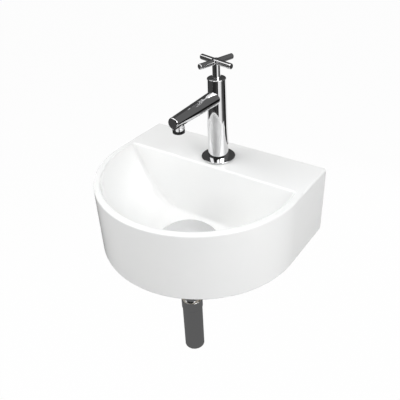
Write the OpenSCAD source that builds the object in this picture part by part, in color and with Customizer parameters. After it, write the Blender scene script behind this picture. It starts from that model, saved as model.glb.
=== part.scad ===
// Half-round cloakroom basin with a pillar tap, a push-open waste and its tail tube.
// The wall is the plane y = 0 and the front points along -Y.
// The origin is midway between the two fixing holes, on the wall.

/* [Basin] */
// Width of the basin along the wall
basin_w = 300; // [286:2:330]
// Depth from the wall to the front of the half-round
basin_d = 246; // [240:2:270]
// Height from the bottom edge to the rim
basin_h = 105; // [100:1:120]
// Width of the rim round the bowl
rim_w = 9.4; // [8:0.2:12]
// Depth of the flat deck behind the bowl
deck_d = 76; // [74:1:82]
// Thickness of the ceramic under the deck
deck_t = 10; // [8:0.5:14]
// Thickness of the ceramic under the bowl's floor
floor_t = 12; // [10:0.5:16]
// Radius at which the bowl's side would meet its flat floor, were they not rounded into each other
bowl_floor_r = 74; // [68:1:80]
// Rounding between the bowl's side and its floor
bowl_edge_r = 40; // [30:1:46]
// How far the floor's centre lies in front of the rim's centre
bowl_lean = 33; // [26:1:36]
// How far the bowl's back wall comes forward from deck to floor
back_lean = 8; // [4:1:12]
// Rounding of the outer edge of the rim
rim_edge_r = 3; // [2:0.5:4]
// Rounding of the lip of the bowl
lip_r = 2.5; // [1.5:0.25:3.5]
// Rounding of the bottom edge
foot_edge_r = 3; // [2:0.5:5]

/* [Space under the deck] */
// Thickness of the back wall, side walls and the wall behind the bowl
wall_t = 9; // [8:0.5:11]
// Rounding of the upright corners of the space
chamber_corner_r = 8; // [5:1:12]
// Diameter of the tap hole
tap_hole_d = 24; // [22:0.5:28]

/* [Wall fixings] */
// Distance between the two fixing holes
fixing_pitch = 180; // [160:10:200]
// Diameter of a fixing hole
fixing_hole_d = 12; // [10:0.5:14]
// Height of the rim above the fixing holes
fixing_drop = 35; // [30:1:45]

/* [Tap column] */
// Distance of the tap's axis behind the bowl's edge
tap_setback = 29; // [28:0.5:32]
// Height of the column's top above the deck
column_h = 122; // [112:1:140]
// Diameter of the column where it stands on the rosette
column_base_d = 30; // [28:0.5:33]
// Diameter of the column at its top
column_top_d = 26.4; // [25.5:0.2:28]
// Rounding of the column's top edge
column_edge_r = 1.2; // [0.6:0.2:1.6]
// Diameter of the rosette
rosette_d = 50; // [46:0.5:52]
// Thickness of the rosette beside the column
rosette_t = 3.2; // [2.6:0.2:4.5]
// Thickness of the rosette at its edge
rosette_edge_t = 2; // [1.8:0.1:2.4]
// Rounding of the rosette's edge
rosette_edge_r = 0.9; // [0.5:0.1:0.9]
// Thickness of the seal under the rosette
base_seal_t = 1; // [0.6:0.2:1.6]

/* [Inlet shank] */
// Diameter of the shank's half-inch thread
shank_d = 20.6; // [20:0.2:21]
// Diameter of the waterway through shank and column
waterway_d = 12; // [10:0.5:13]
// Length of the shank below the top of the deck
shank_drop = 52; // [46:1:60]
// Length of the shank's thread in the column
shank_engage = 14; // [10:1:18]
// Outer diameter of the rubber deck washer
deck_washer_d = 34; // [31:0.5:36]
// Thickness of the rubber deck washer
deck_washer_t = 2.5; // [2:0.25:4]
// Thickness of the steel backing plate
backing_plate_t = 2; // [1.5:0.25:3]
// Width across the flats of the backnut
backnut_af = 27; // [26:0.5:28]
// Height of the backnut
backnut_h = 8; // [6:0.5:10]

/* [Spout and aerator] */
// Reach from the tap's axis to the aerator's axis
spout_reach = 90.5; // [80:0.5:100]
// Depth of the spout's axis below the column's top
spout_drop = 26.5; // [24:0.5:30]
// Diameter of the spout at its root inside the column
spout_root_d = 21.6; // [20:0.2:23]
// Diameter of the spout at its tip
spout_tip_d = 15.8; // [15:0.2:17.6]
// Length of the spout beyond the aerator's axis
spout_nose = 11.5; // [10.5:0.5:15]
// Rounding of the spout's tip
spout_edge_r = 2; // [1:0.25:3]
// Diameter of the waterway in the spout
spout_bore_d = 8; // [7:0.5:9]
// Diameter of the spout's tenon in the column
spout_tenon_d = 12; // [11:0.5:13]
// Diameter of the aerator housing
aerator_d = 16; // [15.4:0.2:17]
// Height of the aerator housing below the spout's boss
aerator_h = 7.6; // [6:0.2:9]
// Thickness of the aerator housing's wall
aerator_wall = 1.3; // [1:0.1:1.5]
// Depth of the aerator's thread in the spout
aerator_engage = 4; // [3:0.5:5]
// Diameter of one passage of the aerator's insert
aerator_cell_d = 1.7; // [1.2:0.1:1.9]

/* [Headwork] */
// Diameter of the headwork bush in the column
headwork_d = 20; // [19.6:0.2:20.4]
// Depth of the valve seat below the column's top
seat_drop = 46; // [44:0.5:50]
// Diameter of the two ceramic discs
disc_d = 16; // [15:0.2:16.6]
// Thickness of each ceramic disc
disc_t = 3; // [2.4:0.2:3.4]
// Thickness of the lip seal under the fixed disc
disc_seal_t = 1.5; // [1:0.25:2]
// Angle that each port of a ceramic disc spans
port_angle = 76; // [60:2:80]
// Diameter of the spindle's shaft
spindle_d = 8; // [7.4:0.2:8.4]
// Diameter of the spindle's end in the handle
spindle_end_d = 6.8; // [6.2:0.2:7]
// Section diameter of the spindle's O-ring
oring_section = 1.1; // [0.9:0.1:1.3]
// Thickness of the bonnet ring
bonnet_t = 3; // [2.5:0.5:4]

/* [Handle] */
// Height of the arms' axes above the column's top
arm_rise = 22.5; // [20:0.5:28]
// Diameter of the handle's hub and stem
stem_d = 11.4; // [11:0.2:12]
// Diameter of an arm
arm_d = 7.8; // [7:0.2:8.2]
// Span of the cross from tip to tip
cross_span = 59; // [50:1:66]
// Rounding of the end of an arm
arm_edge_r = 1.2; // [0.8:0.2:1.6]
// Angle at which the closed handle stands
handle_angle = -15; // [-30:5:0]
// Diameter of an arm's tenon in the hub
arm_tenon_d = 4.4; // [4:0.2:5]
// Diameter of the grub screw
grub_d = 3; // [2.6:0.2:3.4]

/* [Waste] */
// Distance of the waste's axis from the foot of the bowl's back wall
drain_gap = 50; // [47:1:54]
// Diameter of the recess in the bowl's floor
recess_d = 86; // [84:1:90]
// Depth of the recess
recess_h = 3; // [2:0.5:4]
// Rounding of the recess's lip
recess_lip_r = 1.5; // [0.5:0.25:2]
// Diameter of the waste hole
waste_hole_d = 46; // [44:0.5:48]
// Diameter of the waste's one and a quarter inch thread
waste_thread_d = 41.6; // [41:0.2:42.4]
// Inner diameter of the waste body
waste_bore_d = 35; // [33:0.5:36]
// Diameter of the waste's flange
flange_d = 66; // [62:1:68]
// Thickness of the waste's flange
flange_t = 2.5; // [2:0.25:3]
// Thickness of the seal under the flange
flange_seal_t = 1.5; // [1:0.25:2]
// Length of the waste body below its flange
waste_body_h = 62; // [58:1:70]
// Thickness of the seal below the basin
under_seal_t = 4; // [3:0.5:5]
// Outer diameter of the seal below the basin
under_seal_d = 60; // [56:1:64]
// Width across the flats of the waste's backnut
waste_nut_af = 56; // [54:1:60]
// Height of the waste's backnut
waste_nut_h = 8; // [6:0.5:10]
// Thickness of the spider's three ribs
rib_t = 2.6; // [2:0.2:3.4]

/* [Plug] */
// Diameter of the domed plug cap
cap_d = 78; // [72:1:80]
// Height of the dome
cap_dome_h = 4.5; // [3.5:0.5:6]
// Thickness of the cap at its edge
cap_edge_t = 2; // [1.6:0.2:2.6]
// Thickness of the plug's seal
plug_seal_t = 1.2; // [0.8:0.2:1.6]
// Diameter of the plug's stem
plug_stem_d = 6; // [5.4:0.2:6.4]
// Travel of the plug from closed to open
plug_travel = 7; // [5:0.5:8]
// Outer diameter of the click cartridge
cartridge_d = 14; // [13.4:0.2:14.6]
// Height of the click cartridge
cartridge_h = 34; // [32:1:38]
// Wire diameter of the plug's spring
spring_wire_d = 0.9; // [0.7:0.1:1]
// Number of turns of the plug's spring
spring_turns = 7; // [5:1:8]

/* [Tail] */
// Diameter of the upper tail tube
upper_tube_d = 28; // [27:0.2:28.6]
// Diameter of the lower tail tube
lower_tube_d = 32; // [31.6:0.2:33]
// Wall of both tail tubes
tube_wall = 1.2; // [0.8:0.1:1.3]
// Depth of the tail's open end below the rim
tail_end_drop = 318; // [300:2:340]
// Depth of the slip collar's top below the rim
collar_drop = 213; // [206:1:230]
// Height of the slip collar
collar_h = 18; // [14:1:22]
// How far the slip collar stands out from the lower tube
collar_proud = 0.9; // [0.6:0.1:1.2]
// Thickness of the slip collar's top
collar_top_t = 3; // [2:0.5:4]
// Overlap of the two tail tubes
tube_overlap = 32; // [26:1:40]
// Width across the flats of the coupling nut
coupling_af = 48; // [47:0.5:50]
// Thickness of the coupling's washer and of the tube's flange
coupling_washer_t = 2; // [1.5:0.25:3]

/* [Clearances] */
// Radial clearance of fixed pieces in their seats
seat_gap = 0.05; // [0.03:0.01:0.1]
// Radial running clearance of turning and sliding pieces
running_gap = 0.05; // [0.03:0.01:0.08]
// Free space between pieces that move past each other
free_gap = 0.4; // [0.3:0.05:0.6]

/* [Hidden] */
$fn = 96;
eps = 0.5;

// Basin
arc_r = basin_w / 2;
arc_y = arc_r - basin_d;
rim_z = fixing_drop;
foot_z = rim_z - basin_h;
bowl_depth = basin_h - floor_t;
bowl_rim_r = arc_r - rim_w;
ball_rise = (pow(bowl_rim_r, 2) - pow(bowl_floor_r, 2) - pow(bowl_depth, 2)) / (2 * bowl_depth);
ball_r = norm([bowl_rim_r, ball_rise]);
lean_rate = bowl_lean / bowl_depth;
floor_z = rim_z - bowl_depth;
recess_z = floor_z - recess_h;
drain_y = -deck_d - back_lean - drain_gap;
chamber_front = deck_d - wall_t;

// Tap, measured from the top of the deck
tap_d = deck_d - tap_setback;
spout_axis_h = column_h - spout_drop;
seat_h = column_h - seat_drop;
arm_axis_h = column_h + arm_rise;
rosette_top = base_seal_t + rosette_t;
rosette_land = 1;
seal_inset = 1;
shank_r = shank_d / 2;
plate_inset = 0.5;
plate_z = -deck_t - deck_washer_t - backing_plate_t;
backnut_z = plate_z - backnut_h;
groove_h = 1;
groove_w = 0.6;
headwork_r = headwork_d / 2;
disc_r = disc_d / 2;
port_rim = 1.2;
fixed_disc_z = seat_h + disc_seal_t;
moving_disc_z = fixed_disc_z + disc_t;
foot_plate_z = moving_disc_z + disc_t;
foot_plate_t = 2;
guide_wall = 3;
guide_z = spout_axis_h + spout_bore_d / 2 + guide_wall;
bush_drop = 4;
bush_top = column_h - bonnet_t - bush_drop;
spindle_r = spindle_d / 2;
oring_z = (guide_z + bush_top) / 2;
oring_groove_h = oring_section + 2 * running_gap;
slot_w = 3;
slot_h = 1.2;
spout_start = 3;
boss_drop = 1;
boss_z = spout_axis_h - spout_tip_d / 2 - boss_drop;
boss_step = 0.2;
insert_r = aerator_d / 2 - aerator_wall;
insert_h = 4.4;
insert_rise = 1;
neck_wall = 1;
cell_margin = 0.6;
aerator_edge_r = 0.6;
aerator_seal_t = 1.6;

// Handle, measured from the top of the deck
stem_r = stem_d / 2;
stem_foot_z = column_h - bonnet_t + free_gap;
hub_top = arm_axis_h + arm_d / 2;
hub_edge_r = 2;
spindle_cover = 3;
spindle_top = arm_axis_h - arm_d / 2 - spindle_cover;
tenon_gap = 1;
tenon_foot = arm_tenon_d / 2 + tenon_gap;
grub_z = (column_h + spindle_top) / 2;
grub_foot = spindle_end_d / 2 + seat_gap;
grub_sink = 0.3;
grub_socket_h = 1;

// Waste, measured from the floor of the recess
flange_top = flange_seal_t + flange_t;
flange_edge_r = 0.9;
flange_seal_inset = 2;
plug_seal_inset = 3;
waste_end = flange_seal_t - waste_body_h;
waste_r = waste_thread_d / 2;
mouth_h = 3;
mouth_w = 4;
foot_depth = foot_z - recess_z;
cartridge_r = cartridge_d / 2;
cartridge_drop = 4;
cartridge_top = flange_seal_t - cartridge_drop;
cartridge_foot = cartridge_top - cartridge_h;
cartridge_floor_t = 2;
cartridge_roof_t = 4;
cartridge_wall = 1.6;
cartridge_bore_r = cartridge_r - cartridge_wall;
cartridge_head_h = 4;
cartridge_head_w = 1.5;
spider_top = cartridge_top - cartridge_head_h;
spider_h = 12;
spider_step = 2;
spider_wall = 2;
cap_foot = flange_top + plug_seal_t;
piston_h = 3;
piston_z = cartridge_top - cartridge_roof_t - plug_travel - piston_h;
spring_foot = cartridge_foot + cartridge_floor_t;
spring_r = cartridge_bore_r - spring_wire_d / 2 - free_gap / 2;

// Tail, measured from the floor of the recess
tail_zero = rim_z - recess_z;
collar_z = tail_zero - collar_drop;
collar_foot = collar_z - collar_h;
collar_edge_r = 1;
tail_end = tail_zero - tail_end_drop;
tail_flange_z = waste_end - 2 * coupling_washer_t;
coupling_lip = 3;
coupling_h = 20;
coupling_foot = tail_flange_z - coupling_lip;
lower_tube_r = lower_tube_d / 2;
neck_r = lower_tube_r - tube_wall / 3;
slip_ring_t = lower_tube_r - upper_tube_d / 2 - seat_gap;
lower_tube_z = collar_z - collar_top_t - slip_ring_t;

// Slope of the turned corners of a nut
nut_slope = 2;

// Places

module at_tap() {
    translate([0, -tap_d, rim_z]) children();
}

module at_handle() {
    at_tap() rotate(handle_angle) children();
}

module at_drain() {
    translate([0, drain_y, recess_z]) children();
}

// Shapes used by several pieces

// A ring from height z upwards
module ring(outer_r, inner_r, z, h) {
    translate([0, 0, z]) difference() {
        cylinder(r = outer_r, h = h);
        translate([0, 0, -eps]) cylinder(r = inner_r, h = h + 2 * eps);
    }
}

// Half outline of a turned post that tapers and ends in a rounded edge
module post_outline(foot_r, top_r, h, edge_r) {
    polygon([[0, 0], [foot_r, 0], [top_r, h - edge_r], [top_r - edge_r, h], [0, h]]);
    translate([top_r - edge_r, h - edge_r]) circle(edge_r);
}

module turned_post(foot_r, top_r, h, edge_r) {
    rotate_extrude() post_outline(foot_r, top_r, h, edge_r);
}

// A hexagon nut from height z upwards, with its corners turned off at the foot
module hex_nut(af, bore_r, z, h) {
    corner_r = af / 2 / cos(30);
    translate([0, 0, z]) difference() {
        intersection() {
            cylinder(r = corner_r, h = h, $fn = 6);
            cylinder(r1 = af / 2, r2 = af / 2 + nut_slope * h, h = h);
        }
        translate([0, 0, -eps]) cylinder(r = bore_r, h = h + 2 * eps);
    }
}

// Rectangle with round corners, from its centre
module round_rectangle(w, d, r) {
    square([w - 2 * r, d], center = true);
    square([w, d - 2 * r], center = true);
    for (sx = [-1, 1], sy = [-1, 1])
        translate([sx * (w / 2 - r), sy * (d / 2 - r)]) circle(r);
}

// Basin

// Half outline of the outer wall, from the middle plane outwards
module wall_outline() {
    edges_r = rim_edge_r + foot_edge_r;
    square([arc_r - max(rim_edge_r, foot_edge_r), basin_h]);
    translate([0, foot_edge_r]) square([arc_r, basin_h - edges_r]);
    translate([arc_r - foot_edge_r, foot_edge_r]) circle(foot_edge_r);
    translate([arc_r - rim_edge_r, basin_h - rim_edge_r]) circle(rim_edge_r);
}

// Half-round front and straight back in one block
module basin_block() {
    translate([0, arc_y, foot_z]) {
        rotate([0, 0, 180]) rotate_extrude(angle = 180) wall_outline();
        rotate([90, 0, 180]) linear_extrude(-arc_y) {
            wall_outline();
            mirror([1, 0]) wall_outline();
        }
    }
}

// Rounds a lip: widens a room whose wall stands at x where it opens into a face at height z
module lip_flare(x, z, r) {
    difference() {
        translate([x - r, z - r]) square([2 * r, r + eps]);
        translate([x + r, z - r]) circle(r);
    }
}

// Half outline of the round part of the bowl, from the rim's centre.
// A ball's arc rounds into the floor, from under the ball's centre to straight down.
module bowl_outline() {
    edge_z = bowl_edge_r - bowl_depth;
    edge_x = sqrt(pow(ball_r - bowl_edge_r, 2) - pow(ball_rise - edge_z, 2));
    reach = 2 * bowl_edge_r;
    outward = [edge_x, edge_z - ball_rise] * reach / (ball_r - bowl_edge_r);
    difference() {
        intersection() {
            translate([0, ball_rise]) circle(ball_r);
            translate([0, -bowl_depth]) square([ball_r + eps, bowl_depth + eps]);
        }
        translate([edge_x, edge_z]) polygon([[0, 0], [0, -reach], [reach, -reach], outward]);
    }
    translate([edge_x, edge_z]) circle(bowl_edge_r);
    lip_flare(sqrt(pow(ball_r, 2) - pow(ball_rise + lip_r, 2)), 0, lip_r);
}

// Side outline of the bowl's room in front of its back wall, with the deck's edge flared over
module bowl_room_outline() {
    front = -2 * basin_d;
    edge_y = -deck_d;
    foot_y = edge_y - back_lean;
    polygon([[front, -bowl_depth], [foot_y, -bowl_depth], [edge_y, 0], [edge_y, eps], [front, eps]]);
    lip_flare(edge_y - back_lean * lip_r / bowl_depth, 0, lip_r);
}

// The bowl is a ball that leans forward with its depth, cut off by the back wall
module bowl_room() {
    intersection() {
        translate([0, arc_y, rim_z])
            multmatrix([[1, 0, 0, 0], [0, 1, lean_rate, 0], [0, 0, 1, 0], [0, 0, 0, 1]])
                rotate_extrude() bowl_outline();
        translate([-basin_w, 0, rim_z])
            rotate([90, 0, 90]) linear_extrude(2 * basin_w) bowl_room_outline();
    }
}

// Recess round the waste in the bowl's floor, from its own floor upwards
module drain_recess() {
    recess_r = recess_d / 2;
    rotate_extrude() {
        square([recess_r, recess_h + eps]);
        lip_flare(recess_r, recess_h, recess_lip_r);
    }
}

// Room for hands and nuts under the deck, open below
module deck_chamber() {
    span = chamber_front - wall_t;
    translate([0, -wall_t - span / 2, foot_z - eps])
        linear_extrude(basin_h - deck_t + eps)
            round_rectangle(basin_w - 2 * wall_t, span, chamber_corner_r);
}

module basin_body() {
    color("white") difference() {
        basin_block();
        bowl_room();
        deck_chamber();
        at_tap() translate([0, 0, -deck_t - eps]) cylinder(d = tap_hole_d, h = deck_t + 2 * eps);
        at_drain() {
            drain_recess();
            translate([0, 0, foot_depth - eps]) cylinder(d = waste_hole_d, h = -foot_depth + 2 * eps);
        }
        for (side = [-1, 1])
            translate([side * fixing_pitch / 2, eps, 0])
                rotate([90, 0, 0]) cylinder(d = fixing_hole_d, h = wall_t + 2 * eps);
    }
}

// Tap: outside

module tap_base_seal() {
    color("dimgray") at_tap() ring(rosette_d / 2 - seal_inset, shank_r + seat_gap, 0, base_seal_t);
}

module tap_base_rosette() {
    rosette_r = rosette_d / 2;
    color("silver") at_tap() translate([0, 0, base_seal_t]) difference() {
        rotate_extrude() {
            polygon([
                [0, 0], [rosette_r, 0], [rosette_r, rosette_edge_t - rosette_edge_r],
                [rosette_r - rosette_edge_r, rosette_edge_t],
                [column_base_d / 2 + rosette_land, rosette_t], [0, rosette_t]
            ]);
            translate([rosette_r - rosette_edge_r, rosette_edge_t - rosette_edge_r]) circle(rosette_edge_r);
        }
        translate([0, 0, -eps]) cylinder(r = shank_r + seat_gap, h = rosette_t + 2 * eps);
    }
}

// Tapered side of the column, which the spout is saddled to
module column_side(grow) {
    translate([0, 0, rosette_top])
        cylinder(
            r1 = column_base_d / 2 + grow,
            r2 = column_top_d / 2 + grow,
            h = column_h - rosette_top - column_edge_r
        );
}

module tap_body() {
    color("silver") at_tap() difference() {
        translate([0, 0, rosette_top])
            turned_post(column_base_d / 2, column_top_d / 2, column_h - rosette_top, column_edge_r);
        translate([0, 0, rosette_top - eps]) cylinder(r = shank_r + seat_gap, h = shank_engage + eps);
        cylinder(d = waterway_d, h = seat_h + eps);
        translate([0, 0, seat_h]) cylinder(r = headwork_r + seat_gap, h = column_h);
        translate([0, 0, spout_axis_h]) rotate([90, 0, 0])
            cylinder(r = spout_tenon_d / 2 + seat_gap, h = column_base_d);
    }
}

// The saddle fits the column, the tenon goes through its wall to the headwork
module tap_spout() {
    spout_l = spout_reach + spout_nose - spout_start;
    color("silver") at_tap() difference() {
        union() {
            difference() {
                union() {
                    translate([0, -spout_start, spout_axis_h]) rotate([90, 0, 0])
                        turned_post(spout_root_d / 2, spout_tip_d / 2, spout_l, spout_edge_r);
                    translate([0, -spout_reach, boss_z])
                        cylinder(r = aerator_d / 2 - boss_step, h = spout_axis_h - boss_z);
                }
                column_side(seat_gap);
            }
            translate([0, -headwork_r - seat_gap, spout_axis_h]) rotate([90, 0, 0])
                cylinder(d = spout_tenon_d, h = column_base_d / 2);
        }
        translate([0, 0, spout_axis_h]) rotate([90, 0, 0]) cylinder(d = spout_bore_d, h = spout_reach);
        translate([0, -spout_reach, boss_z - eps])
            cylinder(r = insert_r + seat_gap, h = aerator_engage + aerator_seal_t + eps);
        translate([0, -spout_reach, boss_z]) cylinder(d = spout_bore_d, h = spout_axis_h - boss_z);
    }
}

module at_aerator() {
    at_tap() translate([0, -spout_reach, boss_z]) children();
}

// The housing screws into the boss with its neck and carries the insert
module aerator_housing() {
    color("silver") at_aerator() difference() {
        union() {
            mirror([0, 0, 1]) turned_post(aerator_d / 2, aerator_d / 2, aerator_h, aerator_edge_r);
            cylinder(r = insert_r, h = aerator_engage);
        }
        translate([0, 0, -aerator_h - eps])
            cylinder(r = insert_r - neck_wall, h = aerator_h + aerator_engage + 2 * eps);
    }
}

// Honeycomb of passages, one in the middle and two rings round it
module aerator_insert() {
    outer_r = insert_r - neck_wall - seat_gap;
    pitch = (outer_r - aerator_cell_d / 2 - cell_margin) / 2;
    color("gainsboro") at_aerator() translate([0, 0, -aerator_h + insert_rise]) difference() {
        cylinder(r = outer_r, h = insert_h);
        translate([0, 0, -eps]) {
            cylinder(d = aerator_cell_d, h = insert_h + 2 * eps);
            for (ring_no = [1, 2], step = [0 : 6 * ring_no - 1])
                rotate(step * 60 / ring_no) translate([ring_no * pitch, 0, 0])
                    cylinder(d = aerator_cell_d, h = insert_h + 2 * eps);
        }
    }
}

module aerator_seal() {
    color("dimgray") at_aerator() ring(insert_r, spout_bore_d / 2, aerator_engage, aerator_seal_t);
}

// Tap: under the deck

// An undercut divides the backnut's thread from the hose's
module inlet_shank() {
    color("goldenrod") at_tap() difference() {
        ring(shank_r, waterway_d / 2, -shank_drop, shank_drop + rosette_top + shank_engage);
        ring(shank_r + eps, shank_r - groove_w, backnut_z - groove_h, groove_h);
    }
}

module deck_washer() {
    color("dimgray") at_tap()
        ring(deck_washer_d / 2, shank_r + seat_gap, -deck_t - deck_washer_t, deck_washer_t);
}

module backing_plate() {
    color("lightgray") at_tap()
        ring(deck_washer_d / 2 - plate_inset, shank_r + seat_gap, plate_z, backing_plate_t);
}

module shank_backnut() {
    color("goldenrod") at_tap() hex_nut(backnut_af, shank_r + seat_gap, backnut_z, backnut_h);
}

// Headwork

// Two ports that reach through a disc, on opposite sides
module disc_ports(h) {
    for (side = [0, 180])
        rotate(side - port_angle / 2) rotate_extrude(angle = port_angle)
            translate([slot_w, -eps]) square([disc_r - port_rim - slot_w, h + 2 * eps]);
}

module disc_seal() {
    color("dimgray") at_tap() ring(disc_r, waterway_d / 2, seat_h, disc_seal_t);
}

module fixed_ceramic_disc() {
    color("whitesmoke") at_tap() translate([0, 0, fixed_disc_z]) difference() {
        cylinder(r = disc_r, h = disc_t);
        rotate(handle_angle + 90) disc_ports(disc_t);
    }
}

module moving_ceramic_disc() {
    color("whitesmoke") at_handle() translate([0, 0, moving_disc_z]) difference() {
        cylinder(r = disc_r, h = disc_t);
        disc_ports(disc_t);
        translate([0, 0, disc_t - slot_h])
            linear_extrude(slot_h + eps) square([slot_w + 2 * seat_gap, 2 * disc_r + eps], center = true);
    }
}

module headwork_bush() {
    color("goldenrod") at_tap() difference() {
        translate([0, 0, fixed_disc_z]) cylinder(r = headwork_r, h = bush_top - fixed_disc_z);
        translate([0, 0, fixed_disc_z - eps])
            cylinder(r = disc_r + running_gap, h = guide_z - fixed_disc_z + eps);
        cylinder(r = spindle_r + running_gap, h = column_h);
        translate([0, 0, spout_axis_h]) rotate([90, 0, 0]) cylinder(d = spout_bore_d, h = column_base_d);
    }
}

module spindle() {
    plate_r = disc_r - free_gap;
    color("goldenrod") at_handle() difference() {
        union() {
            translate([0, 0, foot_plate_z]) difference() {
                cylinder(r = plate_r, h = foot_plate_t);
                disc_ports(foot_plate_t);
            }
            intersection() {
                translate([0, 0, foot_plate_z - slot_h + seat_gap])
                    linear_extrude(slot_h) square([slot_w, 2 * plate_r], center = true);
                cylinder(r = plate_r, h = column_h);
            }
            translate([0, 0, foot_plate_z])
                cylinder(r = spindle_r, h = stem_foot_z - free_gap - foot_plate_z);
            translate([0, 0, foot_plate_z]) cylinder(d = spindle_end_d, h = spindle_top - foot_plate_z);
        }
        ring(spindle_r + eps, spindle_r - oring_section, oring_z - oring_groove_h / 2, oring_groove_h);
    }
}

module spindle_oring() {
    color("dimgray") at_handle() translate([0, 0, oring_z]) rotate_extrude()
        translate([spindle_r - oring_section / 2 + running_gap / 2, 0])
            circle(oring_section / 2 - running_gap / 4);
}

module bonnet_ring() {
    color("silver") at_tap()
        ring(headwork_r, stem_r + free_gap, column_h - bonnet_t, bonnet_t);
}

// Handle

module handle_hub() {
    color("silver") at_handle() difference() {
        translate([0, 0, stem_foot_z]) turned_post(stem_r, stem_r, hub_top - stem_foot_z, hub_edge_r);
        cylinder(r = spindle_end_d / 2 + seat_gap, h = spindle_top + seat_gap);
        for (turn = [0, 90])
            rotate(turn) translate([0, 0, arm_axis_h]) rotate([90, 0, 0])
                cylinder(r = arm_tenon_d / 2 + seat_gap, h = 2 * stem_d, center = true);
        translate([0, 0, grub_z]) rotate([-90, 0, 45]) cylinder(r = grub_d / 2 + seat_gap, h = stem_d);
    }
}

module handle_arms() {
    color("silver") at_handle() for (turn = [0 : 90 : 270])
        rotate(turn) translate([0, 0, arm_axis_h]) rotate([90, 0, 0]) {
            difference() {
                turned_post(arm_d / 2, arm_d / 2, cross_span / 2, arm_edge_r);
                rotate([-90, 0, 0]) cylinder(r = stem_r + seat_gap, h = 2 * arm_d, center = true);
            }
            translate([0, 0, tenon_foot]) cylinder(d = arm_tenon_d, h = stem_d - tenon_foot);
        }
}

module handle_grub_screw() {
    color("darkgray") at_handle() translate([0, 0, grub_z]) rotate([-90, 0, 45])
        difference() {
            translate([0, 0, grub_foot]) cylinder(d = grub_d, h = stem_r - grub_foot - grub_sink);
            translate([0, 0, stem_r - grub_sink - grub_socket_h])
                cylinder(d = grub_d / 2, h = grub_d, $fn = 6);
        }
}

// Waste

module flange_seal() {
    color("dimgray") at_drain() ring(flange_d / 2 - flange_seal_inset, waste_r + seat_gap, 0, flange_seal_t);
}

// Half section of the threaded tube with its flange and funnelled mouth
module waste_outline() {
    bore_r = waste_bore_d / 2;
    flange_r = flange_d / 2;
    polygon([
        [bore_r, waste_end], [waste_r, waste_end], [waste_r, flange_seal_t], [flange_r, flange_seal_t],
        [flange_r, flange_top - flange_edge_r], [flange_r - flange_edge_r, flange_top],
        [bore_r + mouth_w, flange_top], [bore_r, flange_top - mouth_h]
    ]);
    translate([flange_r - flange_edge_r, flange_top - flange_edge_r]) circle(flange_edge_r);
}

// The tube carries a spider of three ribs that holds the cartridge
module waste_body() {
    ring_mid_r = cartridge_r + spider_wall / 2;
    tube_mid_r = (waste_bore_d / 2 + waste_r) / 2;
    color("silver") at_drain() {
        rotate_extrude() waste_outline();
        ring(cartridge_r + spider_wall, cartridge_r + seat_gap, spider_top - spider_h, spider_h);
        for (turn = [30, 150, 270])
            rotate(turn) translate([ring_mid_r, -rib_t / 2, spider_top - spider_h + spider_step])
                cube([tube_mid_r - ring_mid_r, rib_t, spider_h - 2 * spider_step]);
    }
}

module waste_under_seal() {
    color("dimgray") at_drain()
        ring(under_seal_d / 2, waste_r + seat_gap, foot_depth - under_seal_t, under_seal_t);
}

module waste_backnut() {
    color("goldenrod") at_drain()
        hex_nut(waste_nut_af, waste_r + seat_gap, foot_depth - under_seal_t - waste_nut_h, waste_nut_h);
}

// Cup that guides the plug's stem and holds the spring
module click_cartridge() {
    bore_h = cartridge_h - cartridge_floor_t - cartridge_roof_t;
    color("gainsboro") at_drain() difference() {
        union() {
            translate([0, 0, cartridge_foot]) cylinder(r = cartridge_r, h = cartridge_h);
            translate([0, 0, spider_top]) cylinder(r = cartridge_r + cartridge_head_w, h = cartridge_head_h);
        }
        translate([0, 0, spring_foot]) cylinder(r = cartridge_bore_r, h = bore_h);
        translate([0, 0, spring_foot]) cylinder(r = plug_stem_d / 2 + running_gap, h = cartridge_h);
    }
}

module plug_stem() {
    color("goldenrod") at_drain() {
        translate([0, 0, piston_z]) cylinder(d = plug_stem_d, h = cap_foot - piston_z);
        translate([0, 0, piston_z]) cylinder(r = cartridge_bore_r - running_gap, h = piston_h);
    }
}

// Wire coil on the points of a helix, flat ended between cup and piston
module plug_spring() {
    sides = 6;
    steps = 14;
    rings = spring_turns * steps;
    wire_r = spring_wire_d / 2;
    coil_h = piston_z - spring_foot - spring_wire_d;
    points = [
        for (i = [0 : rings], k = [0 : sides - 1])
            let (turn = 360 * i / steps, side = 360 * k / sides, reach = spring_r + wire_r * cos(side))
                [reach * cos(turn), reach * sin(turn), coil_h * i / rings + wire_r * (1 + sin(side))]
    ];
    walls = [
        for (i = [0 : rings - 1], k = [0 : sides - 1], half = [0, 1])
            let (a = i * sides + k, b = i * sides + (k + 1) % sides)
                half == 0 ? [a, a + sides, b] : [b, a + sides, b + sides]
    ];
    ends = [for (k = [1 : sides - 2], end = [0, 1])
        end == 0 ? [0, k, k + 1] : [rings * sides, rings * sides + k + 1, rings * sides + k]];
    color("lightgray") at_drain() translate([0, 0, spring_foot])
        polyhedron(points, concat(walls, ends));
}

module plug_seal() {
    color("dimgray") at_drain()
        ring(flange_d / 2 - plug_seal_inset, waste_bore_d / 2 + mouth_w, flange_top, plug_seal_t);
}

// Domed cap: a slice of a ball on a thin rounded edge
module plug_cap() {
    cap_r = cap_d / 2;
    dome_r = (pow(cap_r, 2) + pow(cap_dome_h, 2)) / (2 * cap_dome_h);
    color("silver") at_drain() translate([0, 0, cap_foot]) {
        rotate_extrude() {
            square([cap_r - cap_edge_t / 2, cap_edge_t]);
            translate([cap_r - cap_edge_t / 2, cap_edge_t / 2]) circle(cap_edge_t / 2);
            translate([0, cap_edge_t]) intersection() {
                translate([0, cap_dome_h - dome_r]) circle(dome_r, $fn = 720);
                square([cap_r - cap_edge_t / 2, cap_dome_h + eps]);
            }
        }
    }
}

// Tail

module coupling_washer() {
    color("dimgray") at_drain()
        ring(waste_r, upper_tube_d / 2, waste_end - coupling_washer_t, coupling_washer_t);
}

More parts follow.
